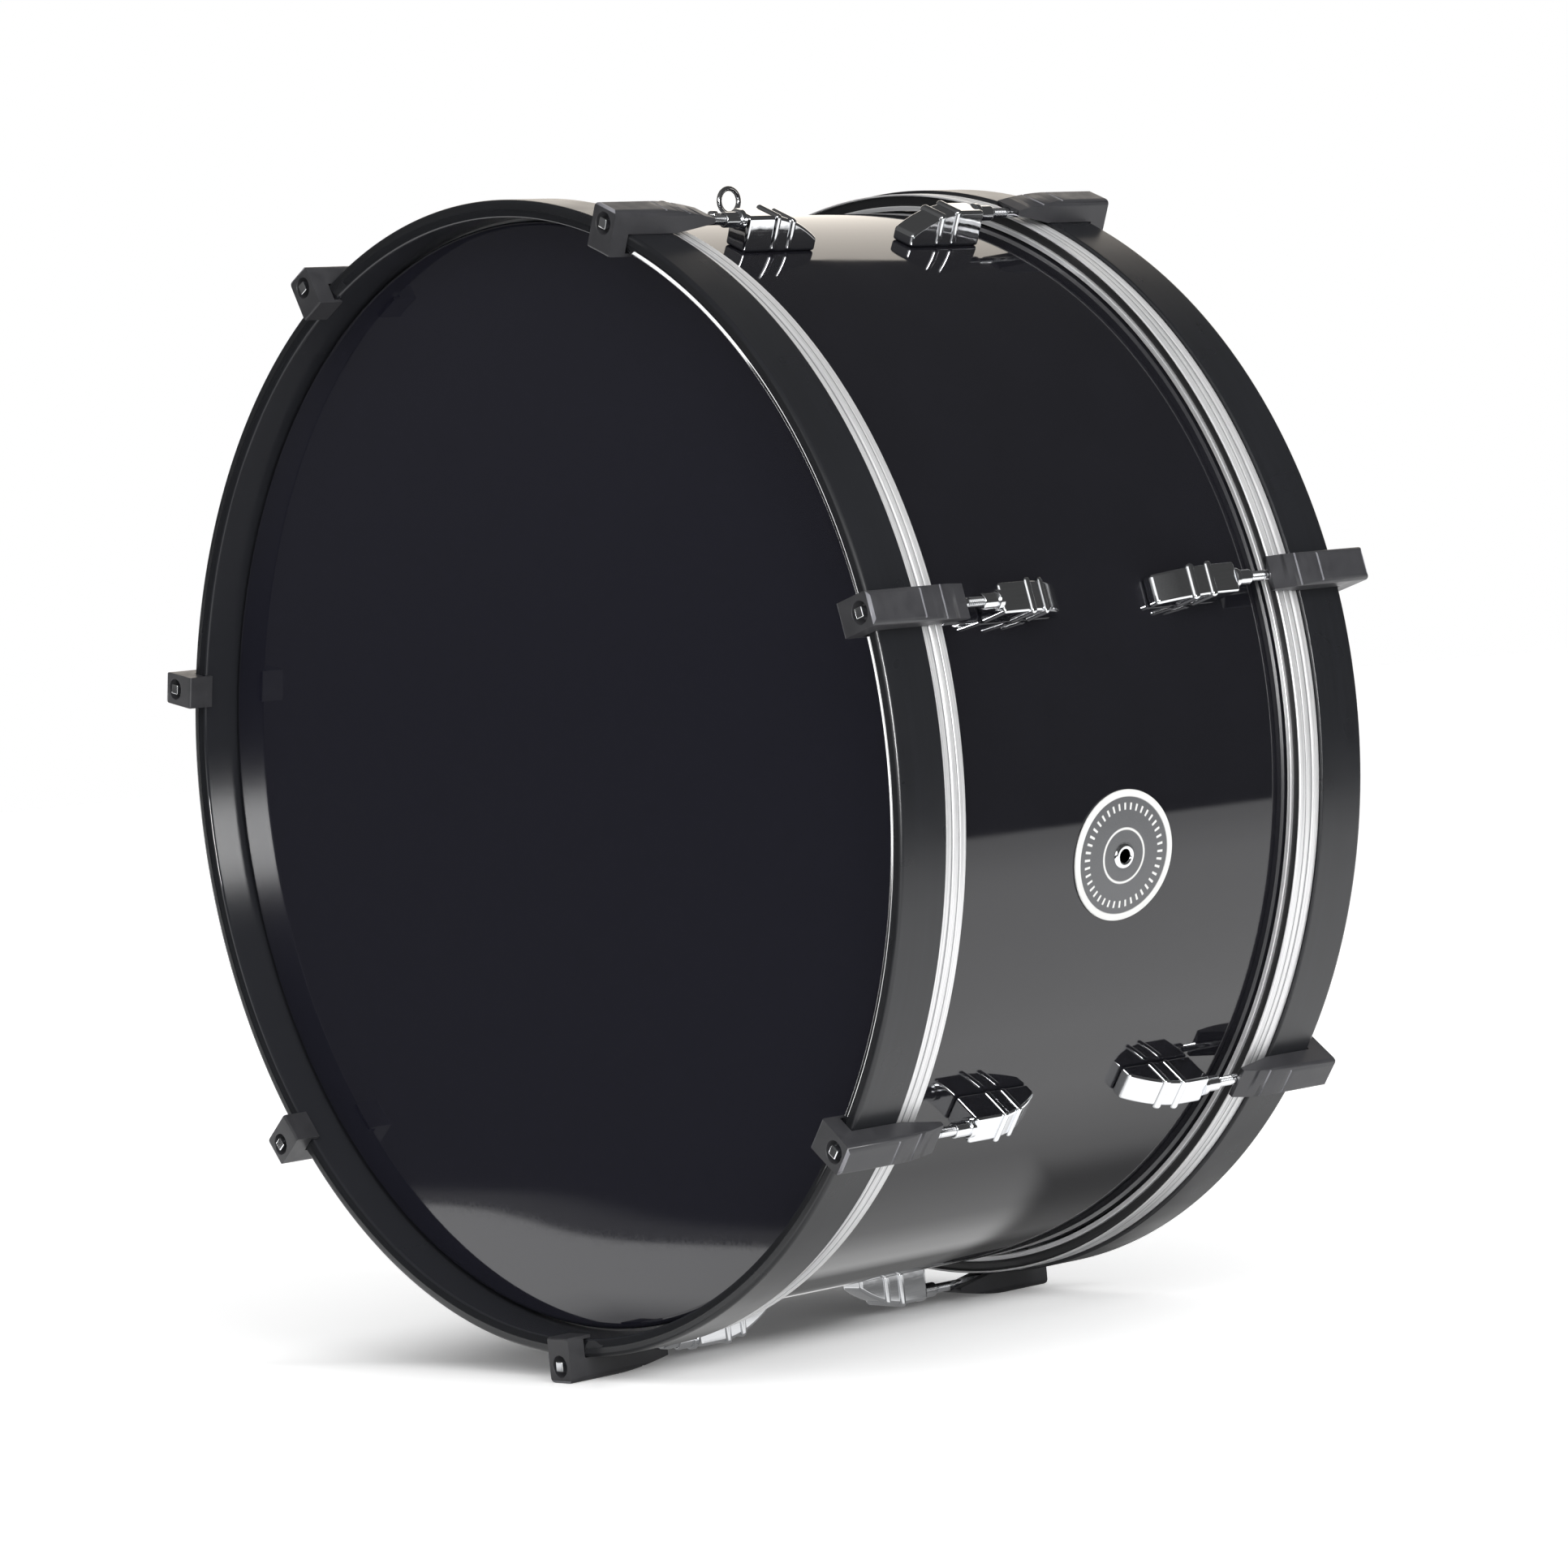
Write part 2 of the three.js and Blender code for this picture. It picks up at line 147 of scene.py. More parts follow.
BADGE_TURN = math.radians(-90 + 1.5 * 360 / STATIONS)
BADGE_RADIUS = 38.0
BADGE_RIM = 3.8
BADGE_HOLE = 5.6
VENT_BORE = 4.0
VENT_BARREL = 5.0
VENT_FLANGE = 7.6
DRILL_RADIUS = 5.2
EYE_OFFSET = 32.0
EYE_TURN = math.asin(EYE_OFFSET / (SHELL_RADIUS + 7.4))
EYE_PLATE = 2.2
EYE_TOP = FITTING_FOOT + EYE_PLATE
EYE_CENTRE = SHELL_RADIUS + 9.9
EYE_RING = 7.6
WIRE_RADIUS = 1.6


def outline(shape, corners):
    """One flat face through corners of (radius, along), some with their own rounding and its steps."""
    points = [shape.verts.new((radius, along, 0)) for radius, along, *_ in corners]
    shape.faces.new(points)
    for point, (_, _, *rounding) in zip(points, corners):
        if rounding:
            bmesh.ops.bevel(shape, geom=[point], offset=rounding[0], offset_type="OFFSET",
                            segments=rounding[1], profile=0.5, affect="VERTICES", material=-1)


def hold_corners(shape, margin):
    """A point close to each end of every long side keeps the shading of the broad faces level."""
    for side in [edge for edge in shape.edges if edge.calc_length() > 5 * margin]:
        near_end, far_end = side.verts
        length = side.calc_length()
        near = bmesh.utils.edge_split(side, near_end, margin / length)[1]
        rest = next(edge for edge in near.link_edges if edge.other_vert(near) == far_end)
        bmesh.utils.edge_split(rest, far_end, margin / (length - margin))


def break_edges(shape, width, steps):
    """Rounds every edge of a simple solid."""
    bmesh.ops.bevel(shape, geom=shape.edges[:], offset=width, offset_type="OFFSET", segments=steps,
                    profile=0.5, affect="EDGES", material=-1)


def mesh_from(shape, name, crease=35):
    """Turns faces outwards and shades them smoothly, with a sharp edge at each real corner."""
    bmesh.ops.recalc_face_normals(shape, faces=shape.faces)
    made = bpy.data.meshes.new(name)
    shape.to_mesh(made)
    shape.free()
    made.shade_smooth()
    made.set_sharp_from_angle(angle=math.radians(crease))
    return made


def turned(name, corners, steps=RING_STEPS, axis=(0, 1, 0), centre=(0, 0, 0), margin=0.6):
    """A turned shape: an outline swept a full turn round an axis."""
    shape = bmesh.new()
    outline(shape, corners)
    hold_corners(shape, margin)
    bmesh.ops.delete(shape, geom=shape.faces[:], context="FACES_ONLY")
    line = Vector(axis)
    on_axis = [(point.co - Vector(centre)).cross(line).length < TOUCHING for point in shape.verts]
    shape.verts.index_update()
    resting = [edge for edge in shape.edges if all(on_axis[point.index] for point in edge.verts)]
    bmesh.ops.delete(shape, geom=resting, context="EDGES")
    bmesh.ops.spin(shape, geom=shape.verts[:] + shape.edges[:], cent=centre, axis=axis, dvec=(0, 0, 0),
                   angle=math.tau, steps=steps, use_merge=True, use_duplicate=False)
    bmesh.ops.remove_doubles(shape, verts=shape.verts, dist=TOUCHING)
    return mesh_from(shape, name)


def slab(name, corners, width):
    """An outline with a thickness, centred on its station."""
    shape = bmesh.new()
    outline(shape, corners)
    swept = bmesh.ops.extrude_face_region(shape, geom=shape.faces[:])["geom"]
    lifted = [item for item in swept if isinstance(item, bmesh.types.BMVert)]
    bmesh.ops.translate(shape, verts=lifted, vec=(0, 0, width))
    bmesh.ops.translate(shape, verts=shape.verts, vec=(0, 0, -width / 2))
    return mesh_from(shape, name)


def new_object(name, data):
    """An object in the scene."""
    thing = bpy.data.objects.new(name, data)
    bpy.context.scene.collection.objects.link(thing)
    return thing


def joined(name, *meshes):
    """Several shapes in one mesh."""
    shape = bmesh.new()
    for part in meshes:
        shape.from_mesh(part)
    made = bpy.data.meshes.new(name)
    shape.to_mesh(made)
    shape.free()
    return made


def evaluated(thing):
    """The mesh of an object with its modifiers applied."""
    graph = bpy.context.evaluated_depsgraph_get()
    graph.update()
    return bpy.data.meshes.new_from_object(thing.evaluated_get(graph), preserve_all_data_layers=True,
                                           depsgraph=graph)


def without_slivers(mesh, reach=0.004):
    """Closes the hair-thin faces, up to 4 microns wide, that a cut leaves where it just touches a face."""
    shape = bmesh.new()
    shape.from_mesh(mesh)
    bmesh.ops.remove_doubles(shape, verts=shape.verts, dist=reach)
    bmesh.ops.dissolve_degenerate(shape, edges=shape.edges, dist=reach)
    shape.to_mesh(mesh)
    shape.free()
    return mesh


def finished(mesh, cuts=(), keep=(), edge=0.0, edge_steps=2, edge_finish=-1, crease=35):
    """Cuts hollows into a casting, breaks its edges and keeps its flat faces level in the light. The
    broken edges may take the piece's second finish."""
    blank = new_object("blank", mesh)
    helpers = [blank]
    for operation, shapes in (("INTERSECT", keep), ("DIFFERENCE", cuts)):
        for shape in shapes:
            cut = blank.modifiers.new("cut", "BOOLEAN")
            cut.operation = operation
            cut.object = new_object("tool", shape)
            cut.solver = "EXACT"
            helpers.append(cut.object)
    if edge:
        broken = blank.modifiers.new("broken edges", "BEVEL")
        broken.width = edge
        broken.segments = edge_steps
        broken.material = edge_finish
        broken.limit_method = "ANGLE"
        broken.angle_limit = math.radians(crease)
    shaped = without_slivers(evaluated(blank))
    shaped.shade_smooth()
    # the facets of a broken edge meet at up to 25 degrees more, and aren't corners
    shaped.set_sharp_from_angle(angle=math.radians(crease + 25 if edge else crease))
    blank.modifiers.clear()
    blank.data = shaped
    level = blank.modifiers.new("level faces", "WEIGHTED_NORMAL")
    level.keep_sharp = True
    result = evaluated(blank)
    for helper in helpers:
        bpy.data.objects.remove(helper)
    return result


HIGHLIGHT_FINISH = 1


def paint_highlight(mesh, faces):
    """Gives some faces of a claw its second finish, a painted highlight. The boolean cuts need both slots
    to keep it.
    """
    for face in faces:
        face.material_index = HIGHLIGHT_FINISH
    for _ in range(HIGHLIGHT_FINISH + 1):
        mesh.materials.append(None)


def at_station(turn, rear=False):
    """Carries a piece from the +X side of the front end to its own place, in metres."""
    end = Matrix.Rotation(math.pi, 4, "X") if rear else Matrix.Identity(4)
    height = Matrix.Translation((0, 0, AXIS_HEIGHT * MM))
    return height @ Matrix.Rotation(-turn, 4, "Y") @ end @ Matrix.Scale(MM, 4)


def piece(name, mesh, place, body, finishes, has_solid=True):
    """A finished piece: its place is in its mesh, it rides on a body, and where there is a solid of the
    same name, it takes its place."""
    own = mesh.copy()
    own.name = f"fine_{name}"
    own.transform(place)
    while len(own.materials) < len(finishes):
        own.materials.append(None)
    for number, finish in enumerate(finishes):
        own.materials[number] = finish
    thing = new_object(own.name, own)
    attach(thing, body)
    if has_solid:
        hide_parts(name)


def linear(code):
    """An sRGB hex colour as the linear values that a shader takes."""
    channels = [int(code[i:i + 2], 16) / 255 for i in (1, 3, 5)]
    return tuple(c / 12.92 if c <= 0.04045 else ((c + 0.055) / 1.055) ** 2.4 for c in channels) + (1.0,)


def add(tree, kind, inputs=None, **settings):
    """Adds a node with its settings, and fills or links its inputs, by name or by number among those in
    use. A node given as an input stands for its own first output in use."""
    made = tree.nodes.new("ShaderNode" + kind)
    for key, value in settings.items():
        setattr(made, key, value)
    in_use = [socket for socket in made.inputs if socket.enabled]
    for key, value in (inputs or {}).items():
        socket = in_use[key] if isinstance(key, int) else next(s for s in in_use if s.name == key)
        if isinstance(value, bpy.types.Node):
            value = next(output for output in value.outputs if output.enabled)
        if isinstance(value, bpy.types.NodeSocket):
            tree.links.new(value, socket)
        else:
            socket.default_value = value
    return made


def start_material(name):
    """An empty material with its tree and the place of each point on the drum, in metres."""
    made = bpy.data.materials.new(name)
    made.use_nodes = True
    made.node_tree.nodes.clear()
    place = add(made.node_tree, "TexCoord").outputs["Object"]
    return made, made.node_tree, place


def end_material(tree, shader_inputs):
    """The surface itself."""
    shader = add(tree, "BsdfPrincipled", shader_inputs)
    add(tree, "OutputMaterial", {"Surface": shader})


def around_axis(tree, place):
    """Distance from the drum's axis, the place along it, and both with the turn as one flat place."""
    moved = add(tree, "Mapping", {"Vector": place, "Location": (0, 0, -AXIS_HEIGHT * MM)})
    parts = add(tree, "SeparateXYZ", {"Vector": moved}).outputs
    across = add(tree, "CombineXYZ", {"X": parts["X"], "Z": parts["Z"]})
    radius = add(tree, "VectorMath", {0: across}, operation="LENGTH")
    turn = add(tree, "Math", {0: parts["Z"], 1: parts["X"]}, operation="ARCTAN2")
    flat_place = add(tree, "CombineXYZ", {"X": turn, "Y": parts["Y"], "Z": radius})
    return radius, parts["Y"], flat_place


def polished_black_lacquer():
    """Shell: birch plywood, sprayed with black polyester lacquer, sanded and polished. It mirrors the
    room sharply, with the faint waviness of sprayed lacquer. Inside, clear coat shows the plies."""
    made, tree, place = start_material("polished_black_lacquer")
    radius, _, flat_place = around_axis(tree, place)
    # sprayed lacquer keeps waves about 9 mm long and a few thousandths of a millimetre high
    waves = add(tree, "TexNoise", {"Vector": place, "Scale": 110.0, "Detail": 1.0})
    bump = add(tree, "Bump", {"Strength": 1.0, "Distance": 0.0000045, "Height": waves})
    # hand wear: patches about 40 mm wide where the polish is a little duller
    patches = add(tree, "TexNoise", {"Vector": place, "Scale": 25.0, "Detail": 4.0})
    rough = add(tree, "MapRange", {"Value": patches, "From Min": 0.3, "From Max": 0.75,
                                   "To Min": 0.035, "To Max": 0.075})
    # wood inside: plies about 2.4 mm thick, grain lines 0.8 mm apart that run round the shell
    bare = add(tree, "Math", {0: radius, 1: (CROWN_INSIDE - 0.1) * MM}, operation="LESS_THAN")
    plies = add(tree, "Math", {0: radius, 1: 0.0024}, operation="PINGPONG")
    layer = add(tree, "MapRange", {"Value": plies, "From Min": 0.0009, "From Max": 0.0013})
    stretched = add(tree, "Mapping", {"Vector": flat_place, "Scale": (12.0, 1200.0, 900.0)})
    grain = add(tree, "TexNoise", {"Vector": stretched, "Scale": 1.0, "Detail": 3.0})
    ply = add(tree, "Mix", {"Factor": layer, "A": linear("#c9a877"), "B": linear("#a9835a")},
              data_type="RGBA")
    wood = add(tree, "Mix", {"Factor": grain, "A": ply, "B": linear("#d9bd90")}, data_type="RGBA")
    # the lacquer's black is a trace cooler in the duller patches
    black = add(tree, "Mix", {"Factor": patches, "A": linear("#18181c"), "B": linear("#1c1c21")},
                data_type="RGBA")
    colour = add(tree, "Mix", {"Factor": bare, "A": black, "B": wood}, data_type="RGBA")
    gloss = add(tree, "Mix", {"Factor": bare, "A": rough, "B": 0.5}, data_type="FLOAT")
    end_material(tree, {"Base Color": colour, "Roughness": gloss, "IOR": 1.6, "Normal": bump})
    return made


def black_polyester_film():
    """Drumhead: black polyester film, cast smooth and stretched flat. It mirrors like dark glass, with
    a very slight haze and the long ripples of tensioned film."""
    made, tree, place = start_material("black_polyester_film")
    # ripples about 110 mm long and two hundredths of a millimetre high
    ripples = add(tree, "TexNoise", {"Vector": place, "Scale": 9.0, "Detail": 2.0})
    bump = add(tree, "Bump", {"Strength": 1.0, "Distance": 0.00002, "Height": ripples})
    # cast film has fine specks, drawn 1.4 mm wide so that they show as haze
    specks = add(tree, "TexNoise", {"Vector": place, "Scale": 700.0, "Detail": 2.0})
    rough = add(tree, "MapRange", {"Value": specks, "From Min": 0.35, "From Max": 0.7,
                                   "To Min": 0.03, "To Max": 0.07})
    colour = add(tree, "Mix", {"Factor": specks, "A": linear("#1f1f28"), "B": linear("#23232d")},
                 data_type="RGBA")
    end_material(tree, {"Base Color": colour, "Roughness": rough, "IOR": 1.65, "Normal": bump})
    return made


def black_cast_resin():
    """Bedding of the film's edge: black resin poured into the channel, with a dull skin and fine pits."""
    made, tree, place = start_material("black_cast_resin")
    # pits of about 1 mm
    pits = add(tree, "TexNoise", {"Vector": place, "Scale": 900.0, "Detail": 2.0})
    bump = add(tree, "Bump", {"Strength": 0.5, "Distance": 0.0001, "Height": pits})
    rough = add(tree, "MapRange", {"Value": pits, "To Min": 0.45, "To Max": 0.65})
    colour = add(tree, "Mix", {"Factor": pits, "A": linear("#121214"), "B": linear("#1a1a1d")},
                 data_type="RGBA")
    end_material(tree, {"Base Color": colour, "Roughness": rough, "IOR": 1.5, "Normal": bump})
    return made


def satin_black_lacquer():
    """Counterhoop: bent plywood with a satin black lacquer. It has a broad soft sheen, faint grain lines
    that run round the hoop, and an eased inner front edge that hands have rubbed to a gloss."""
    made, tree, place = start_material("satin_black_lacquer")
    radius, along, flat_place = around_axis(tree, place)
    # wood grain under the lacquer: 3 mm apart across the hoop, 110 mm long round it
    stretched = add(tree, "Mapping", {"Vector": flat_place, "Scale": (3.0, 330.0, 330.0)})
    grain = add(tree, "TexNoise", {"Vector": stretched, "Scale": 1.0, "Detail": 1.0})
    bump = add(tree, "Bump", {"Strength": 0.3, "Distance": 0.00003, "Height": grain})
    # the satin varies in patches about 25 mm wide
    patches = add(tree, "TexNoise", {"Vector": place, "Scale": 40.0, "Detail": 1.0})
    broad = add(tree, "MapRange", {"Value": patches, "From Min": 0.3, "From Max": 0.7,
                                   "To Min": 0.27, "To Max": 0.32})
    # the eased edge: the last 2 mm before the hoop's front, up to the eased width from its inner wall
    outwards = add(tree, "Math", {0: along}, operation="ABSOLUTE")
    front = add(tree, "MapRange", {"Value": outwards, "From Min": (HOOP_FRONT - 2.7) * MM,
                                   "From Max": (HOOP_FRONT - 2.0) * MM})
    eased_end = HOOP_INSIDE + EASED_WIDTH
    inner = add(tree, "MapRange", {"Value": radius, "From Min": (eased_end + 0.8) * MM,
                                   "From Max": (eased_end - 0.1) * MM})
    eased = add(tree, "Math", {0: front, 1: inner}, operation="MULTIPLY")
    # the inner wall got fewer coats and no rubbing down: it is glossier, and its lighter grey is painted
    # light
    wall = add(tree, "MapRange", {"Value": radius, "From Min": (HOOP_INSIDE + 1.5) * MM,
                                  "From Max": (HOOP_INSIDE + 0.5) * MM})
    coats = add(tree, "Mix", {"Factor": wall, "A": broad, "B": 0.2}, data_type="FLOAT")
    rough = add(tree, "Mix", {"Factor": eased, "A": coats, "B": 0.045}, data_type="FLOAT")
    outside = add(tree, "Mix", {"Factor": grain, "A": linear("#1e1f21"), "B": linear("#25262a")},
                  data_type="RGBA")
    # painted light: the inner wall is a lighter grey than the outside
    colour = add(tree, "Mix", {"Factor": wall, "A": outside, "B": linear("#2f3034")}, data_type="RGBA")
    end_material(tree, {"Base Color": colour, "Roughness": rough, "IOR": 1.5, "Normal": bump})
    return made


def rolled_aluminium():
    """Flesh hoop: rolled aluminium, etched and clear anodised. Fine lines from the rollers run round it,
    and the etched skin scatters the light, so that the whole band is bright."""
    made, tree, place = start_material("rolled_aluminium")
    radius, along, flat_place = around_axis(tree, place)
    # roller lines: 0.5 mm apart, 100 mm long
    stretched = add(tree, "Mapping", {"Vector": flat_place, "Scale": (3.5, 2000.0, 2000.0)})
    lines = add(tree, "TexNoise", {"Vector": stretched, "Scale": 1.0, "Detail": 3.0})
    bump = add(tree, "Bump", {"Strength": 0.35, "Distance": 0.00005, "Height": lines})
    rough = add(tree, "MapRange", {"Value": lines, "From Min": 0.3, "From Max": 0.7,
                                   "To Min": 0.36, "To Max": 0.48})
    bright = add(tree, "MapRange", {"Value": lines, "From Min": 0.35, "From Max": 0.65})
    skin = add(tree, "Mix", {"Factor": bright, "A": linear("#d2d2d4"), "B": linear("#f4f4f4")},
               data_type="RGBA")
    # painted shade darkens the two rolled grooves, which only the hoop's outer side has
    painted_groove_shade = 0.0
    outwards = add(tree, "Math", {0: along}, operation="ABSOLUTE")
    for groove, reach in ((WIDE_GROOVE, 0.8), (FINE_GROOVE, 0.6)):
        beyond = add(tree, "Math", {0: outwards, 1: groove * MM}, operation="SUBTRACT")
        away = add(tree, "Math", {0: beyond}, operation="ABSOLUTE")
        near = add(tree, "MapRange", {"Value": away, "From Min": reach * MM, "From Max": reach * MM / 4})
        painted_groove_shade = add(tree, "Math", {0: near, 1: painted_groove_shade}, operation="MAXIMUM")
    outer = add(tree, "MapRange", {"Value": radius, "From Min": (FLESH_CROWN - 2.2) * MM,
                                   "From Max": (FLESH_CROWN - 1.7) * MM})
    painted_groove_shade = add(tree, "Math", {0: painted_groove_shade, 1: outer}, operation="MULTIPLY")
    # the grooves' darker grey is painted shade
    colour = add(tree, "Mix", {"Factor": painted_groove_shade, "A": skin, "B": linear("#8c8d8f")}, data_type="RGBA")
    end_material(tree, {"Base Color": colour, "Metallic": 0.45, "Roughness": rough, "Normal": bump})
    return made


def powder_coated_casting(name, dark, pale, dull):
    """Claw: die-cast metal with a dark grey powder coat. Its fine grain scatters the light into a soft
    grey. Its second finish is a painted highlight: lighter and smoother, on the claw's edges."""
    made, tree, place = start_material(name)
    # powder grain of about 0.4 mm, drawn at 0.9 mm so that it shows
    grain = add(tree, "TexNoise", {"Vector": place, "Scale": 1100.0, "Detail": 2.0})
    bump = add(tree, "Bump", {"Strength": 0.6, "Distance": 0.00008, "Height": grain})
    # the coat's thickness varies in patches about 8 mm wide
    patches = add(tree, "TexNoise", {"Vector": place, "Scale": 120.0, "Detail": 3.0})
    rough = add(tree, "MapRange", {"Value": patches, "From Min": 0.3, "From Max": 0.7,
                                   "To Min": dull, "To Max": dull + 0.14})
    colour = add(tree, "Mix", {"Factor": patches, "A": linear(dark), "B": linear(pale)},
                 data_type="RGBA")
    end_material(tree, {"Base Color": colour, "Roughness": rough, "IOR": 1.5, "Normal": bump})
    return made


def chrome_plate(name, dull):
    """Chrome plate on polished castings and screws. It mirrors the bright floor and the dark room with
    hard contrasts, and has hair scratches from wiping."""
    made, tree, place = start_material(name)
    # wiping scratches: 0.6 mm apart and 15 mm long
    stretched = add(tree, "Mapping", {"Vector": place, "Scale": (1600.0, 70.0, 1600.0),
                                      "Rotation": (0.3, 0.2, 0.5)})
    scratches = add(tree, "TexNoise", {"Vector": stretched, "Scale": 1.0, "Detail": 2.0})
    rough = add(tree, "MapRange", {"Value": scratches, "From Min": 0.4, "From Max": 0.75,
                                   "To Min": dull, "To Max": dull + 0.06})
    # polishing leaves waves about 7 mm long
    waves = add(tree, "TexNoise", {"Vector": place, "Scale": 150.0, "Detail": 1.0})
    bump = add(tree, "Bump", {"Strength": 1.0, "Distance": 0.00003, "Height": waves})
    colour = add(tree, "Mix", {"Factor": scratches, "A": linear("#dfe1e4"), "B": linear("#f0f1f3")},
                 data_type="RGBA")
    end_material(tree, {"Base Color": colour, "Metallic": 1.0, "Roughness": rough, "Normal": bump})
    return made


def printed_badge_sheet():
    """Badge: thin aluminium sheet with a satin grey print, a pale rim and a plain scale of strokes."""
    made, tree, place = start_material("printed_badge_sheet")
    side = SHELL_RADIUS * math.cos(BADGE_TURN) * MM
    height = (AXIS_HEIGHT + SHELL_RADIUS * math.sin(BADGE_TURN)) * MM
    moved = add(tree, "VectorMath", {0: place, 1: (side, 0, height)}, operation="SUBTRACT")
    level = add(tree, "VectorRotate", {"Vector": moved, "Angle": BADGE_TURN}, rotation_type="Y_AXIS")
    parts = add(tree, "SeparateXYZ", {"Vector": level}).outputs
    flat = add(tree, "CombineXYZ", {"X": parts["Y"], "Y": parts["Z"]})
    radius = add(tree, "VectorMath", {0: flat}, operation="LENGTH")
    turn = add(tree, "Math", {0: parts["Z"], 1: parts["Y"]}, operation="ARCTAN2")
    soft = 0.3 * MM

    def ring(inner, outer):
        """A printed ring between two radii in millimetres."""
        over = add(tree, "MapRange", {"Value": radius, "From Min": inner * MM - soft,
                                      "From Max": inner * MM + soft})
        under = add(tree, "MapRange", {"Value": radius, "From Min": outer * MM + soft,
                                       "From Max": outer * MM - soft})
        return add(tree, "Math", {0: over, 1: under}, operation="MULTIPLY")

    # forty strokes of a plain scale, each 1.4 mm wide
    beat = add(tree, "Math", {0: turn, 1: math.tau / 80}, operation="PINGPONG")
    stroke = add(tree, "MapRange", {"Value": beat, "From Min": 0.028, "From Max": 0.02})
    strokes = add(tree, "Math", {0: stroke, 1: ring(26.5, 30.5)}, operation="MULTIPLY")
    rings = add(tree, "Math", {0: ring(34.0, 40.0), 1: ring(15.0, 16.3)}, operation="ADD")
    pale = add(tree, "Math", {0: strokes, 1: rings}, operation="MAXIMUM")
    # fine screen of the print: dots 0.5 mm apart
    screen = add(tree, "TexNoise", {"Vector": place, "Scale": 2000.0, "Detail": 1.0})
    grey = add(tree, "Mix", {"Factor": screen, "A": linear("#5b5c5e"), "B": linear("#6a6b6d")},
               data_type="RGBA")
    colour = add(tree, "Mix", {"Factor": pale, "A": grey, "B": linear("#f1f1ef")}, data_type="RGBA")
    bump = add(tree, "Bump", {"Strength": 0.3, "Distance": 0.00002, "Height": screen})
    rough = add(tree, "MapRange", {"Value": screen, "To Min": 0.3, "To Max": 0.4})
    end_material(tree, {"Base Color": colour, "Roughness": rough, "IOR": 1.5, "Normal": bump})
    return made


def shell_tube():
    """The shell: a rounded outer edge, a narrow crown and a bevel towards the inside at both ends, and a
    drilled hole for the vent."""
    bevel_end = BEARING_EDGE - BEVEL_DEPTH
    tube = turned("shell_tube", [
        (SHELL_RADIUS, -BEARING_EDGE, 2.4, 5), (SHELL_RADIUS, BEARING_EDGE, 2.4, 5),
        (CROWN_INSIDE, BEARING_EDGE), (SHELL_INSIDE, bevel_end),
        (SHELL_INSIDE, -bevel_end), (CROWN_INSIDE, -BEARING_EDGE)])
    start, stop = SHELL_INSIDE - 23, SHELL_RADIUS + 20
    drill = turned("drill", [(start, 0), (stop, 0), (stop, DRILL_RADIUS), (start, DRILL_RADIUS)],
                   steps=40, axis=(1, 0, 0))
    drill.transform(Matrix.Rotation(-BADGE_TURN, 4, "Y"))
    return finished(tube, cuts=[drill], crease=30)


def film_sheet():
    """The drumhead: flat inside the bearing edge, turned over it and down the shell."""
    back = FILM_THICKNESS - FILM_FACE
    return turned("film_sheet", [
        (0, -FILM_FACE), (FILM_RING, -FILM_FACE), (FILM_OUTSIDE, -FILM_FACE, 3.0, 6),
        (FILM_OUTSIDE, -FILM_SKIRT), (FILM_INSIDE, -FILM_SKIRT), (FILM_INSIDE, back, 2.3, 6),
        (FILM_RING, back), (0, back)], margin=1.2)


def flesh_hoop():
    """The aluminium hoop: three crowned bands with rolled grooves between them, a lightly rounded back
    edge, and an open channel on the side that faces the middle of the drum."""
    side = FLESH_CROWN - 0.1
    return turned("flesh_hoop", [
        (FLESH_INSIDE, -FLESH_FRONT), (FLESH_CROWN - 0.4, -FLESH_FRONT, 0.6, 3),
        (FLESH_CROWN, -145.0), (side, -142.6, 0.5, 3),
        (FLESH_CROWN - 1.2, -WIDE_GROOVE, 0.4, 2), (FLESH_CROWN - 0.2, -139.8, 0.5, 3),
        (FLESH_CROWN, -138.4), (side, -136.8, 0.4, 2),
        (FLESH_CROWN - 0.7, -FINE_GROOVE, 0.2, 2), (side, -135.5, 0.3, 2),
        (side, -FLESH_BACK, 0.9, 4), (CHANNEL_OUTSIDE, -FLESH_BACK, 0.2, 2),
        (CHANNEL_OUTSIDE, -CHANNEL_FLOOR), (CHANNEL_INSIDE, -CHANNEL_FLOOR),
        (CHANNEL_INSIDE, -FLESH_BACK, 0.5, 3), (FLESH_INSIDE, -FLESH_BACK)], margin=0.3)


def channel_resin():
    """The black resin that holds the film's rolled edge in the aluminium channel."""
    near, far = CHANNEL_INSIDE + RESIN_GAP, CHANNEL_OUTSIDE - RESIN_GAP
    floor = CHANNEL_FLOOR - RESIN_GAP
    brim = floor - 1.7
    crest = brim - 0.6
    return turned("channel_resin", [
        (near, -floor), (far, -floor), (far, -brim, 0.4, 2), (far - 1.7, -crest), (near + 1.7, -crest),
        (near, -brim, 0.4, 2)], margin=0.2)


def counterhoop():
    """The black hoop, with rounded corners. Its inner front edge is eased by a narrow sloping facet, and
    the corner that faces the aluminium hoop is nearly square."""
    return turned("counterhoop", [
        (HOOP_INSIDE, 2.4 - HOOP_FRONT, 0.6, 3), (HOOP_INSIDE + 0.5, 1.45 - HOOP_FRONT, 0.5, 3),
        (HOOP_INSIDE + EASED_WIDTH, -HOOP_FRONT, 1.0, 5), (HOOP_OUTSIDE, -HOOP_FRONT, 2.4, 6),
        (HOOP_OUTSIDE, -HOOP_BACK, 0.7, 3), (HOOP_INSIDE, -HOOP_BACK, 2.4, 5)], margin=0.3)


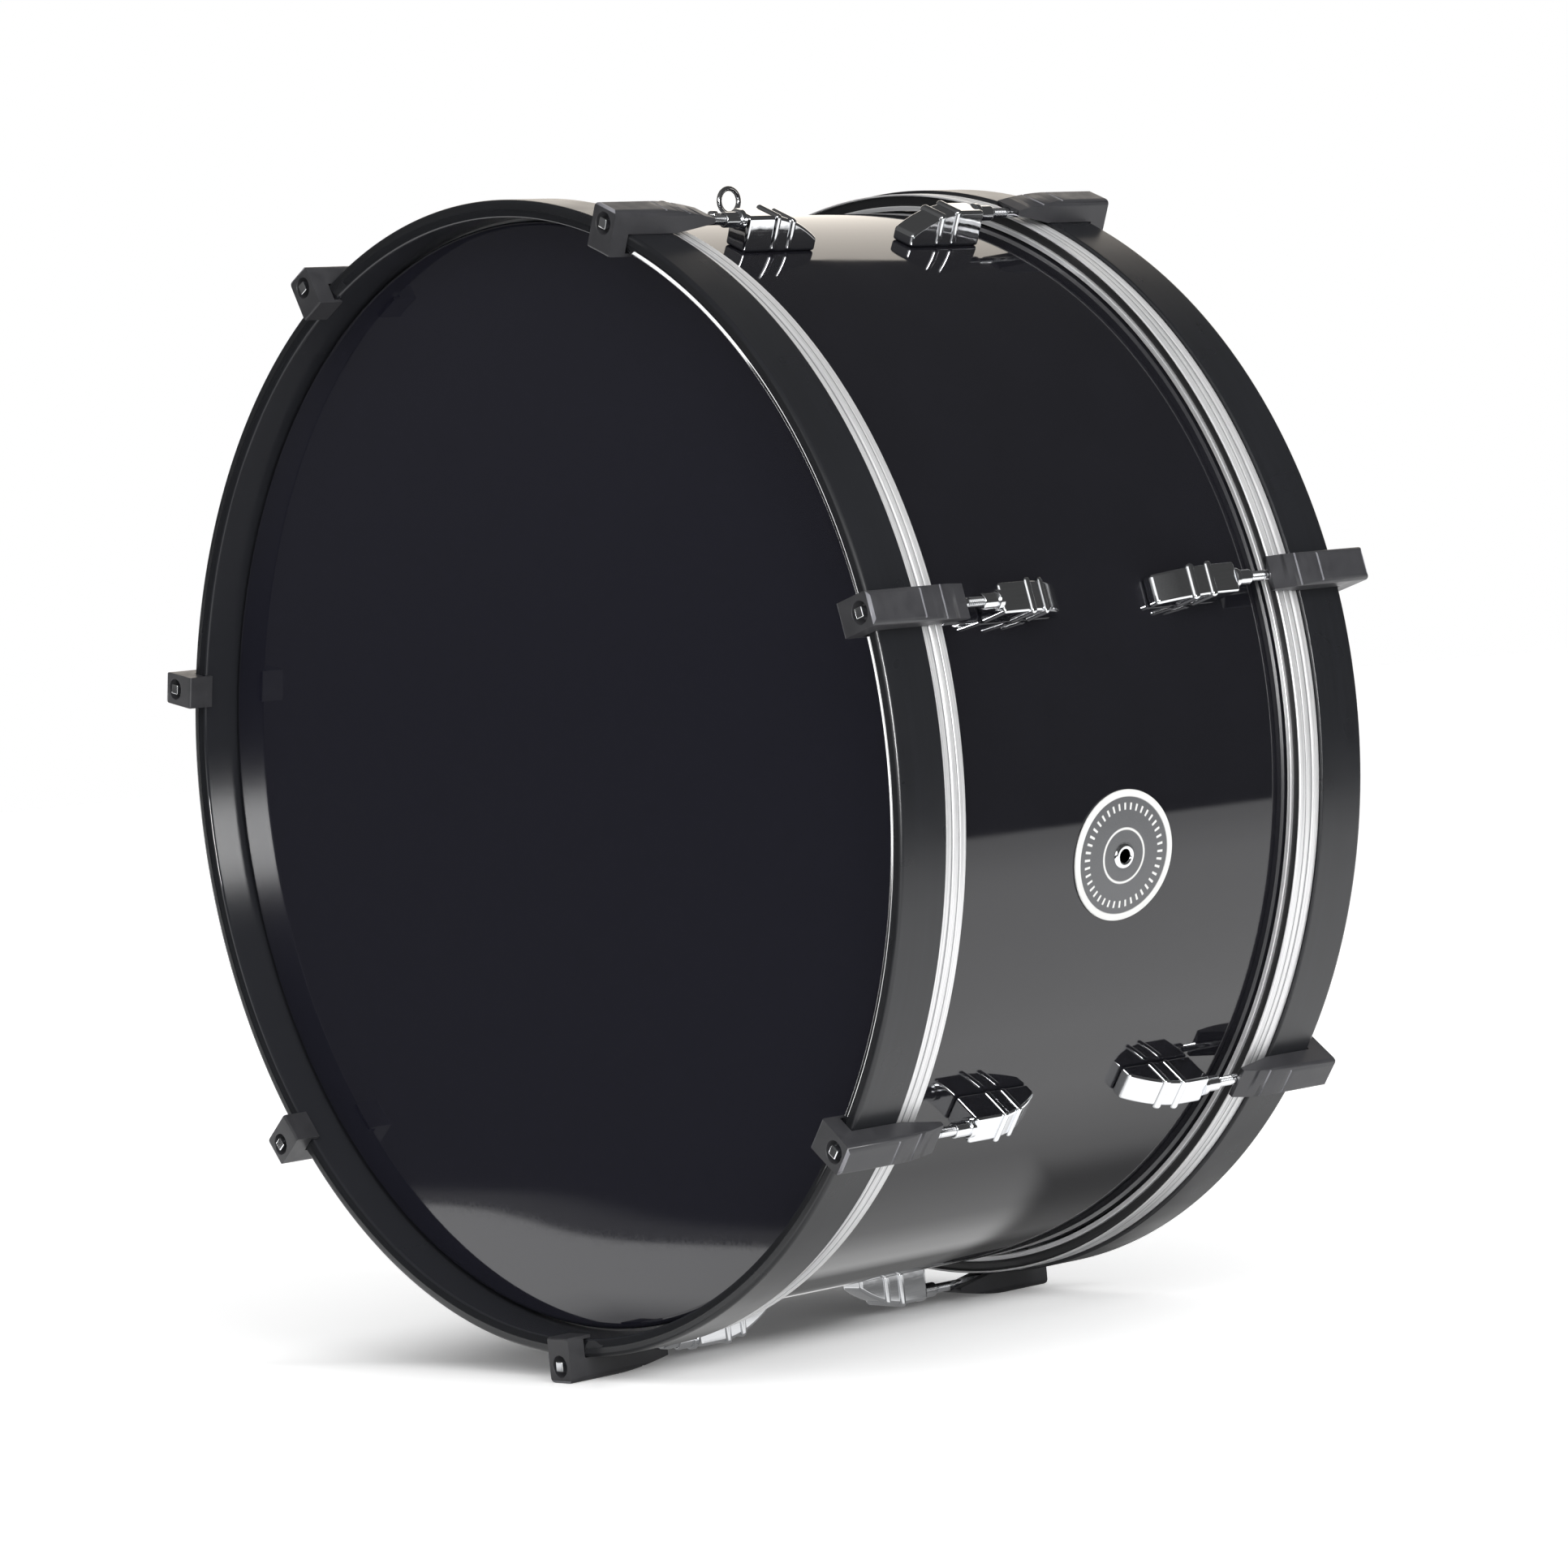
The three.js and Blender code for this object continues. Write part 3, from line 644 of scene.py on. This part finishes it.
def claw_blank():
    """The claw's side view and its front view, each swept straight. What they share is the claw."""
    back = []
    for step in range(CURVE_STEPS + 1):
        share = step / CURVE_STEPS
        along = CLAW_CREASE + (CLAW_TIP - CLAW_CREASE) * share
        back.append((CLAW_BACK - CLAW_FALL * share ** 1.5, -along))
    side_view = slab("claw_casting", [
        (HOOK_INSIDE, -CLAW_FACE, 1.4, 3), (CLAW_BACK, -CLAW_FACE, 1.6, 4), *back,
        (CLAW_BACK - CLAW_FALL - TIP_THICKNESS, -CLAW_TIP), (SEAT_RADIUS, -SEAT_BACK),
        (SEAT_RADIUS, -SEAT_FRONT), (HOOK_LIP, -SEAT_FRONT), (HOOK_LIP, -HOOK_END),
        (HOOK_INSIDE, -HOOK_END)], CLAW_WIDTH + 6)
    half, length = CLAW_WIDTH / 2, 100.0
    front_view = slab("claw_front_view", [
        (BELOW_CLAW, -half), (CLAW_BACK, -half, 3.5, 6), (CLAW_BACK, half, 3.5, 6),
        (BELOW_CLAW, half)], length)
    middle = Matrix.Translation((0, -CUT_END - length / 2, 0))
    front_view.transform(middle @ Matrix.Rotation(QUARTER_TURN, 4, "X"))
    return side_view, front_view


def claw_casting():
    """The claw: a deep block hooked over the hoop, a flat back, and an arm that falls to its tip."""
    side_view, front_view = claw_blank()
    # the rounded front corner, which faces both outwards and forwards, takes the painted highlight
    paint_highlight(side_view, [f for f in side_view.polygons if min(f.normal.x, -f.normal.y) > 0.15])
    well = turned("well", [
        (ROD_AXIS, -CUT_START), (ROD_AXIS + WELL_RADIUS + 2.9, -CUT_START),
        (ROD_AXIS + WELL_RADIUS, 0.4 - CLAW_FACE), (ROD_AXIS + WELL_RADIUS, -WELL_FLOOR),
        (ROD_AXIS, -WELL_FLOOR)], steps=40, centre=ROD_CENTRE, margin=math.inf)
    hole = turned("hole", [
        (ROD_AXIS, -CUT_START), (ROD_AXIS + HOLE_RADIUS, -CUT_START), (ROD_AXIS + HOLE_RADIUS, -CUT_END),
        (ROD_AXIS, -CUT_END)], steps=28, centre=ROD_CENTRE, margin=math.inf)
    channel = slab("channel", [
        (BELOW_SEAT, 0.1 - HOOP_FRONT), (ROD_AXIS, 0.1 - HOOP_FRONT), (ROD_AXIS, -CUT_END),
        (BELOW_SEAT, -CUT_END)], 2 * HOLE_RADIUS)
    # the broken edges take the claw's painted highlight
    casting = finished(side_view, keep=[front_view], cuts=[well, hole, channel], edge=0.95,
                       edge_finish=HIGHLIGHT_FINISH)
    # two shallow grooves run across the arm, with the same painted highlight as its edges
    grooves = []
    for floor, along in ARM_GROOVES:
        end = GROOVE_WIDTH - along
        groove = slab("groove", [
            (floor, -along), (ABOVE_CLAW, -along), (ABOVE_CLAW, end), (floor, end)], 3 * CLAW_WIDTH)
        paint_highlight(groove, groove.polygons)
        grooves.append(groove)
    return finished(casting, cuts=grooves, crease=60)


def rolled_thread():
    """A ridge that winds round the rod, with its two cut ends closed."""
    shape = bmesh.new()
    root = ROD_RADIUS - THREAD_DEPTH
    start = -THREAD_START - 0.6
    first_flank, last_flank = (THREAD_PITCH - CREST_WIDTH) / 2, (THREAD_PITCH + CREST_WIDTH) / 2
    ridge = ((root, 0), (ROD_RADIUS, first_flank), (ROD_RADIUS, last_flank), (root, THREAD_PITCH))
    points = [shape.verts.new((ROD_AXIS + radius, start + along, 0)) for radius, along in ridge]
    for first, second in zip(points, points[1:]):
        shape.edges.new((first, second))
    turns = int((THREAD_START - ROD_END) / THREAD_PITCH)
    steps = 20
    bmesh.ops.spin(shape, geom=shape.verts[:] + shape.edges[:], cent=ROD_CENTRE, axis=(0, 1, 0),
                   dvec=(0, THREAD_PITCH / steps, 0), angle=math.tau * turns, steps=steps * turns,
                   use_merge=False, use_duplicate=False)
    bmesh.ops.remove_doubles(shape, verts=shape.verts, dist=10 * TOUCHING)
    bmesh.ops.holes_fill(shape, edges=[edge for edge in shape.edges if edge.is_boundary], sides=0)
    return mesh_from(shape, "thread", 40)


def key_rod():
    """The key rod: square head with broken edges, flange, plain shank and a rolled M6 thread."""
    shank = turned("shank", [
        (ROD_AXIS, -FLANGE_FRONT), (ROD_AXIS + FLANGE_RADIUS, -FLANGE_FRONT, 0.6, 3),
        (ROD_AXIS + FLANGE_RADIUS, -FLANGE_BACK, 0.3, 2), (ROD_AXIS + ROD_RADIUS, -FLANGE_BACK),
        (ROD_AXIS + ROD_RADIUS, -THREAD_START, 0.4, 2), (ROD_AXIS, -THREAD_START)],
        steps=40, centre=ROD_CENTRE, margin=0.3)
    head = bmesh.new()
    bmesh.ops.create_cube(head, size=1.0)
    bmesh.ops.scale(head, vec=(HEAD_WIDTH, HEAD_LENGTH, HEAD_WIDTH), verts=head.verts)
    break_edges(head, 0.7, 3)
    head_middle = FLANGE_FRONT + HEAD_LENGTH / 2 - HEAD_SUNK
    bmesh.ops.translate(head, verts=head.verts, vec=(ROD_AXIS, -head_middle, 0))
    square = finished(mesh_from(head, "square_head", 50), crease=50)
    return joined("key_rod", shank, square, rolled_thread())


def lug_height(along):
    """Radius of the lug's outer face: level from its rod end, then falling ever more steeply."""
    share = max(0.0, (LUG_LEVEL - along) / (LUG_LEVEL - LUG_NOSE))
    return LUG_TOP - (LUG_TOP - LUG_BASE - LUG_TOE) * share ** 2


def lug_casting():
    """The lug: a casting with broad polished edges, and two half-round ribs across it."""
    falling = []
    for step in range(CURVE_STEPS + 1):
        along = LUG_LEVEL + (LUG_NOSE - LUG_LEVEL) * step / CURVE_STEPS
        falling.append((lug_height(along), -along))
    side_view = [(LUG_BASE, -LUG_END), (LUG_TOP, -LUG_END), *falling, (LUG_BASE, -LUG_NOSE)]
    body = finished(slab("lug_body", side_view, LUG_WIDTH), edge=2.1, edge_steps=5, crease=30)
    ribs = []
    for place in LUG_BANDS:
        near, far = place + BAND_WIDTH / 2, place - BAND_WIDTH / 2
        rib = slab("rib", [
            (LUG_BASE + 1, -near), (lug_height(near) + RIB_HEIGHT, -near),
            (lug_height(far) + RIB_HEIGHT, -far), (LUG_BASE + 1, -far)], LUG_WIDTH + 2 * RIB_HEIGHT)
        ribs.append(finished(rib, edge=BAND_WIDTH / 2 - 0.05, edge_steps=6, crease=30))
    return joined("lug_casting", body, *ribs)


def swivel_nut():
    """The nut that the key rod screws into: a collar against the lug and a barrel with a broken mouth."""
    collar_front = LUG_END + 2.2
    sunk = LUG_END - 1.0
    return turned("swivel_nut", [
        (ROD_AXIS + NUT_BORE, -NUT_MOUTH, 0.4, 2), (ROD_AXIS + NUT_RADIUS, -NUT_MOUTH, 0.8, 3),
        (ROD_AXIS + NUT_RADIUS, -collar_front), (ROD_AXIS + COLLAR_RADIUS, -collar_front, 0.5, 3),
        (ROD_AXIS + COLLAR_RADIUS, -sunk), (ROD_AXIS + NUT_BORE, -sunk)],
        steps=40, centre=ROD_CENTRE, margin=0.3)


def lug_screws():
    """The two hexagon screws with washers that hold a lug, inside the shell."""
    washer_face, washer_back = SHELL_INSIDE - 1.2, SHELL_INSIDE - 0.1
    parts = []
    for along in (LUG_NOSE + 14, LUG_END - 16):
        washer = turned("washer", [
            (washer_face, 0), (washer_face, WASHER_RADIUS, 0.3, 2), (washer_back, WASHER_RADIUS),
            (washer_back, 0)], steps=32, axis=(1, 0, 0))
        head = bmesh.new()
        bmesh.ops.create_cone(head, cap_ends=True, segments=6, radius1=SCREW_RADIUS,
                              radius2=SCREW_RADIUS, depth=3.2)
        bmesh.ops.rotate(head, verts=head.verts, cent=(0, 0, 0),
                         matrix=Matrix.Rotation(QUARTER_TURN, 3, "Y"))
        bmesh.ops.translate(head, verts=head.verts, vec=(washer_face - 1.6, 0, 0))
        break_edges(head, 0.3, 2)
        screw = joined("screw", washer, mesh_from(head, "screw_head", 50))
        screw.transform(Matrix.Translation((0, -along, 0)))
        parts.append(screw)
    return joined("lug_screws", *parts)


def badge_disc():
    """A thin disc with a raised rim, bent round the shell."""
    sheet_top, rim_top = FITTING_FOOT + 0.7, FITTING_FOOT + 1.1
    rim_inside = BADGE_RADIUS - BADGE_RIM
    disc = turned("badge_disc", [
        (FITTING_FOOT, BADGE_HOLE), (FITTING_FOOT, BADGE_RADIUS), (rim_top, BADGE_RADIUS, 0.5, 3),
        (rim_top, rim_inside, 0.4, 3), (sheet_top, rim_inside - 0.4), (sheet_top, 20),
        (sheet_top, BADGE_HOLE)], steps=128, axis=(1, 0, 0), margin=0.4)
    for vertex in disc.vertices:
        turn = vertex.co.z / SHELL_RADIUS
        radius = vertex.co.x
        vertex.co.x = radius * math.cos(turn)
        vertex.co.z = radius * math.sin(turn)
    return disc


def vent_eyelet():
    """The vent: a bright eyelet rolled over the badge and over the shell's inner face."""
    inner_seat, outer_seat = SHELL_INSIDE - 0.6, FITTING_FOOT + 0.9
    inner_end, outer_end = inner_seat - 1.5, outer_seat + 1.3
    return turned("vent_eyelet", [
        (inner_end, VENT_BORE, 0.5, 3), (inner_end, VENT_FLANGE, 0.5, 3), (inner_seat, VENT_FLANGE + 0.4),
        (inner_seat, VENT_BARREL), (outer_seat, VENT_BARREL), (outer_seat, VENT_FLANGE, 0.1, 2),
        (outer_end, VENT_FLANGE - 1.0, 0.7, 4), (outer_end, VENT_BORE, 1.0, 5)],
        steps=56, axis=(1, 0, 0), margin=0.2)


def eye_plate():
    """The oblong plate of a carrying eye, with broken edges."""
    plate = slab("eye_plate", [(-7.5, -19, 5, 6), (7.5, -19, 5, 6), (7.5, 19, 5, 6), (-7.5, 19, 5, 6)],
                 EYE_PLATE)
    middle = Matrix.Translation((EYE_TOP - EYE_PLATE / 2, 0, 0))
    plate.transform(middle @ Matrix.Rotation(QUARTER_TURN, 4, "Y"))
    return finished(plate, edge=0.6, edge_steps=3)


def eye_loop():
    """The ring of steel wire."""
    loop = bmesh.new()
    wire = bmesh.ops.create_circle(loop, segments=20, radius=WIRE_RADIUS)["verts"]
    bmesh.ops.rotate(loop, verts=wire, cent=(0, 0, 0), matrix=Matrix.Rotation(QUARTER_TURN, 3, "X"))
    bmesh.ops.translate(loop, verts=wire, vec=(EYE_CENTRE + EYE_RING, 0, 0))
    bmesh.ops.spin(loop, geom=loop.verts[:] + loop.edges[:], cent=(EYE_CENTRE, 0, 0), axis=(0, 0, 1),
                   dvec=(0, 0, 0), angle=math.tau, steps=48, use_merge=True, use_duplicate=False)
    bmesh.ops.remove_doubles(loop, verts=loop.verts, dist=TOUCHING)
    return mesh_from(loop, "eye_loop")


def carrying_eye():
    """A ring of steel wire that stands on a plate held by two round-headed screws."""
    plate = eye_plate()
    loop = eye_loop()
    collar = turned("eye_collar", [
        (EYE_TOP - 1, 0), (EYE_TOP - 1, 3.6), (EYE_TOP + 1.2, 3.6, 0.6, 3), (EYE_TOP + 1.2, 0)],
        steps=32, axis=(1, 0, 0), margin=0.3)
    slot_floor, slot_end = EYE_TOP + 0.9, EYE_TOP + 4
    screws = []
    for along in (-13, 13):
        screw = turned("eye_screw", [
            (EYE_TOP - 0.5, 0), (EYE_TOP - 0.5, 3.4), (EYE_TOP + 1.5, 2.9, 1.0, 4), (EYE_TOP + 1.9, 0)],
            steps=32, axis=(1, 0, 0), margin=0.4)
        screw.transform(Matrix.Translation((0, along, 0)))
        slot_cut = slab("screw_slot", [
            (slot_floor, along - 4), (slot_end, along - 4), (slot_end, along + 4),
            (slot_floor, along + 4)], 0.8)
        screws.append(finished(screw, cuts=[slot_cut]))
    return joined("carrying_eye", plate, loop, collar, *screws)


# The camera stands where the photo was taken from, and leans to match it. Its angles in degrees are the
# tilt up from straight down, the lean, and the turn about the vertical.
CAMERA_PLACE = (2.401738, -1.973595, 0.408757)
CAMERA_ANGLES = (88.693544, 5.743117, 50.117042)

lens = bpy.data.cameras.new("camera")
lens.lens = 115.81
lens.clip_end = 60.0
lens.sensor_fit = "HORIZONTAL"
camera = new_object("camera", lens)
leaning = Euler([math.radians(angle) for angle in CAMERA_ANGLES]).to_matrix().to_4x4()
camera.matrix_world = Matrix.Translation(CAMERA_PLACE) @ leaning
bpy.context.scene.camera = camera

shell_finish = [polished_black_lacquer()]
film_finish = [black_polyester_film()]
hoop_finish = [satin_black_lacquer()]
flesh_finish = [rolled_aluminium()]
resin_finish = [black_cast_resin()]
# the second claw finish is a painted highlight: a lighter grey on the edges, grooves and front corner
claw_finish = [powder_coated_casting("powder_coated_casting", "#353538", "#434346", 0.36),
               powder_coated_casting("powder_coat_painted_highlight", "#7c7c81", "#9a9aa0", 0.24)]
chrome = [chrome_plate("chrome_plate", 0.03)]
screw_chrome = [chrome_plate("plated_steel", 0.12)]
badge_finish = [printed_badge_sheet()]

shell_mesh = shell_tube()
film_mesh = film_sheet()
flesh_mesh = flesh_hoop()
resin_mesh = channel_resin()
hoop_mesh = counterhoop()
claw_mesh = claw_casting()
rod_mesh = key_rod()
lug_mesh = lug_casting()
nut_mesh = swivel_nut()
screws_mesh = lug_screws()

piece("shell", shell_mesh, at_station(0), "drum_body", shell_finish)
for end, rear in (("front", False), ("rear", True)):
    whole = at_station(0, rear)
    moving = f"{end}_head_set"
    piece(f"{end}_head_film", film_mesh, whole, moving, film_finish)
    piece(f"{end}_flesh_hoop", flesh_mesh, whole, moving, flesh_finish)
    piece(f"{end}_channel_resin", resin_mesh, whole, moving, resin_finish, has_solid=False)
    piece(f"{end}_counterhoop", hoop_mesh, whole, moving, hoop_finish)
    for number in range(1, STATIONS + 1):
        here = at_station(math.radians(-90 + (number - 1) * 360 / STATIONS), rear)
        piece(f"{end}_claw_{number}", claw_mesh, here, moving, claw_finish)
        piece(f"{end}_key_rod_{number}", rod_mesh, here, f"{end}_rod_{number}", screw_chrome)
        piece(f"{end}_lug_{number}", lug_mesh, here, "drum_body", chrome)
        piece(f"{end}_swivel_nut_{number}", nut_mesh, here, "drum_body", screw_chrome,
              has_solid=False)
        piece(f"{end}_lug_screws_{number}", screws_mesh, here, "drum_body", screw_chrome,
              has_solid=False)

badge_place = at_station(BADGE_TURN)
piece("badge", badge_disc(), badge_place, "drum_body", badge_finish)
piece("air_vent", vent_eyelet(), badge_place, "drum_body", chrome)
eye_mesh = carrying_eye()
for side, sign in (("right", -1), ("left", 1)):
    piece(f"carrying_eye_{side}", eye_mesh, at_station(QUARTER_TURN + sign * EYE_TURN), "drum_body",
          chrome)


# What polished surfaces see of the studio's dim walls, and how much the floor glows for the camera
ROOM_LEVEL = 0.06
FLOOR_GLOW = 0.5
WHITE = linear("#ffffff")

# The shade in the floor's mirror image, in bands beside the line where the drum stands: distance from
# that line in metres, and the share of light left there
SHADE_AT_LINE = 0.1
SHADE_BANDS = ((0.04, 0.15), (0.065, 0.6), (0.09, 0.6), (0.125, 0.42), (0.2, 0.45), (0.28, 0.85), (0.36, 1))


def floor_paint():
    """Pale floor sheet. The camera sees it white with the drum's soft shadow, and a painted shadow in the
    narrow gap under the drum. Polished surfaces see it only as far as the sheet reaches, with the shade
    under the drum, and the dim studio beyond."""
    made, tree, place = start_material("pale_floor_sheet")
    parts = add(tree, "SeparateXYZ", {"Vector": place}).outputs
    x, y = parts["X"], parts["Y"]
    across = add(tree, "Math", {0: x}, operation="ABSOLUTE")
    along = add(tree, "Math", {0: y}, operation="ABSOLUTE")
    # the sheet's front edge bows a little towards the left
    bow = add(tree, "MapRange", {"Value": x, "From Min": -0.5, "From Max": -1.0, "To Max": 0.14},
              interpolation_type="SMOOTHSTEP")
    front = add(tree, "Math", {0: y, 1: bow}, operation="ADD")
    # soft steps over the floor: what each follows, where it starts and ends in metres, and its levels
    # there, where they aren't 0 and 1
    soft = {}
    for name, value, start, end, *levels in (
            ("front strip", front, -0.70, -0.64, 0.0, 0.16), ("front edge", front, -0.605, -0.59),
            ("right edge", x, 1.15, 1.08), ("right fade", x, 1.1, 0.7, 0.72, 1.0),
            ("left edge", x, -3.9, -3.6), ("back edge", y, 1.9, 1.7),
            ("past the drum", along, 0.24, 0.42), ("beside the rear", across, 0.13, 0.22),
            ("before the rear", y, 0.14, 0.09), ("behind the rear", y, 0.19, 0.26),
            ("right of the gap", x, -0.03, 0.07), ("left of the gap", x, -0.12, -0.38),
            ("past the gap", along, 0.14, 0.22)):
        least, most = levels or (0.0, 1.0)
        soft[name] = add(tree, "MapRange", {"Value": value, "From Min": start, "From Max": end,
                                            "To Min": least, "To Max": most},
                         interpolation_type="SMOOTHSTEP")
    # the drum shades the floor under it, most of all beside its rear hoop
    doubled = add(tree, "Math", {0: across, 1: 2.0}, operation="MULTIPLY")
    ramp = add(tree, "ValToRGB", {"Fac": doubled})
    elements = ramp.color_ramp.elements
    elements.remove(elements[1])
    elements[0].color = (SHADE_AT_LINE, SHADE_AT_LINE, SHADE_AT_LINE, 1)
    for reach, level in SHADE_BANDS:
        elements.new(2 * reach).color = (level, level, level, 1)
    soft["under"] = add(tree, "Math", {0: ramp, 1: soft["past the drum"]}, operation="MAXIMUM")
    rear = 0.0
    for name in ("beside the rear", "before the rear", "behind the rear"):
        rear = add(tree, "Math", {0: rear, 1: soft[name]}, operation="MAXIMUM")
    soft["rear"] = add(tree, "MapRange", {"Value": rear, "To Min": 0.2},
                       interpolation_type="SMOOTHSTEP")
    # a dimmer strip runs along the front edge
    lit = add(tree, "MapRange", {"Value": soft["front edge"], "To Min": soft["front strip"]})
    for name in ("right edge", "right fade", "left edge", "back edge", "under", "rear"):
        lit = add(tree, "Math", {0: lit, 1: soft[name]}, operation="MULTIPLY")
    seen = add(tree, "MapRange", {"Value": lit, "To Min": ROOM_LEVEL, "To Max": 1.5})
    mirrored = add(tree, "Emission", {"Color": WHITE, "Strength": seen})
    # a paper grain of 2 mm keeps the shadow from looking airbrushed
    grain = add(tree, "TexNoise", {"Vector": place, "Scale": 500.0, "Detail": 2.0})
    tone = add(tree, "Mix", {"Factor": grain, "A": linear("#eeeeee"), "B": linear("#f6f6f6")},
               data_type="RGBA")
    paper = add(tree, "BsdfDiffuse", {"Color": tone})
    # painted shadow: the glow fades in the narrow gap under the drum
    gap = 0.0
    for name in ("right of the gap", "left of the gap", "past the gap"):
        gap = add(tree, "Math", {0: gap, 1: soft[name]}, operation="MAXIMUM")
    level = add(tree, "MapRange", {"Value": gap, "To Min": 0.05, "To Max": FLOOR_GLOW})
    glow = add(tree, "Emission", {"Color": WHITE, "Strength": level})
    white = add(tree, "AddShader", {0: paper, 1: glow})
    path = add(tree, "LightPath").outputs
    direct = add(tree, "MixShader", {0: path["Is Camera Ray"], 1: paper, 2: white})
    surface = add(tree, "MixShader", {0: path["Is Glossy Ray"], 1: direct, 2: mirrored})
    add(tree, "OutputMaterial", {"Surface": surface})
    return made


ground = bmesh.new()
bmesh.ops.create_grid(ground, x_segments=1, y_segments=1, size=25.0)
floor_mesh = bpy.data.meshes.new("floor")
ground.to_mesh(floor_mesh)
ground.free()
floor_mesh.materials.append(floor_paint())
floor = new_object("floor", floor_mesh)


def lamp(name, kind, place, target, hidden_from, **settings):
    """A studio lamp that points at a target. The camera doesn't see it, nor does one kind of ray."""
    light = bpy.data.lights.new(name, kind)
    for key, value in settings.items():
        setattr(light, key, value)
    stand = new_object(name, light)
    aim = (Vector(target) - Vector(place)).to_track_quat("-Z", "Y").to_matrix().to_4x4()
    stand.matrix_world = Matrix.Translation(place) @ aim
    stand.visible_camera = False
    setattr(stand, f"visible_{hidden_from}", False)


def soft_box(name, place, target, hidden_from, width, height, power, **settings):
    """A rectangular lamp."""
    lamp(name, "AREA", place, target, hidden_from, energy=power, shape="RECTANGLE", size=width,
         size_y=height, **settings)


middle = (0, 0, 0.36)
lamp("top_light", "SUN", (-0.4, -0.3, 5), middle, "glossy", energy=1.3, angle=math.radians(110))
lamp("camera_light", "SUN", (3.0, -3.4, 2.4), middle, "glossy", energy=1.0, angle=math.radians(80))
soft_box("side_box", (3.1, -0.35, 1.6), middle, "glossy", 2.4, 2.2, 66.0)
soft_box("left_box_long", (-2.6, -0.84, 0.16), (0, -0.84, 0.16), "diffuse", 0.46, 0.4, 6.0)
soft_box("left_box_short", (-2.6, -0.21, 0.3), (0, -0.21, 0.3), "diffuse", 0.12, 0.22, 0.8)
soft_box("camera_box", (2.2, -1.85, 0.62), middle, "diffuse", 0.45, 0.75, 105.0)
soft_box("soft_wall", (0.95, -3.4, 1.0), (0, 0, 0.6), "diffuse", 3.6, 2.4, 31.0)
soft_box("back_panel", (-2.6, 3.1, 1.9), (0, 0, 0.9), "diffuse", 4.0, 3.4, 62.0,
         color=linear("#fff6ea")[:3])


def studio_room():
    """The room is white for the camera. Polished surfaces see its dim walls. The wall in front of the
    drum is a little lighter above eye level."""
    made = bpy.data.worlds.new("room")
    made.use_nodes = True
    tree = made.node_tree
    tree.nodes.clear()
    path = add(tree, "LightPath").outputs
    way = add(tree, "TexCoord").outputs["Generated"]
    looking = add(tree, "SeparateXYZ", {"Vector": way}).outputs
    above = add(tree, "MapRange", {"Value": looking["Z"], "From Max": 0.08})
    ahead = add(tree, "MapRange", {"Value": looking["Y"], "From Min": -0.1, "From Max": -0.4})
    lighter = add(tree, "Math", {0: above, 1: ahead}, operation="MULTIPLY")
    walls = add(tree, "MapRange", {"Value": lighter, "To Min": ROOM_LEVEL, "To Max": 0.1})
    strength = add(tree, "MapRange", {"Value": path["Is Camera Ray"], "To Min": walls})
    white = add(tree, "Background", {"Color": WHITE, "Strength": strength})
    add(tree, "OutputWorld", {"Surface": white})
    return made


bpy.context.scene.world = studio_room()
bpy.context.scene.view_settings.view_transform = "Standard"
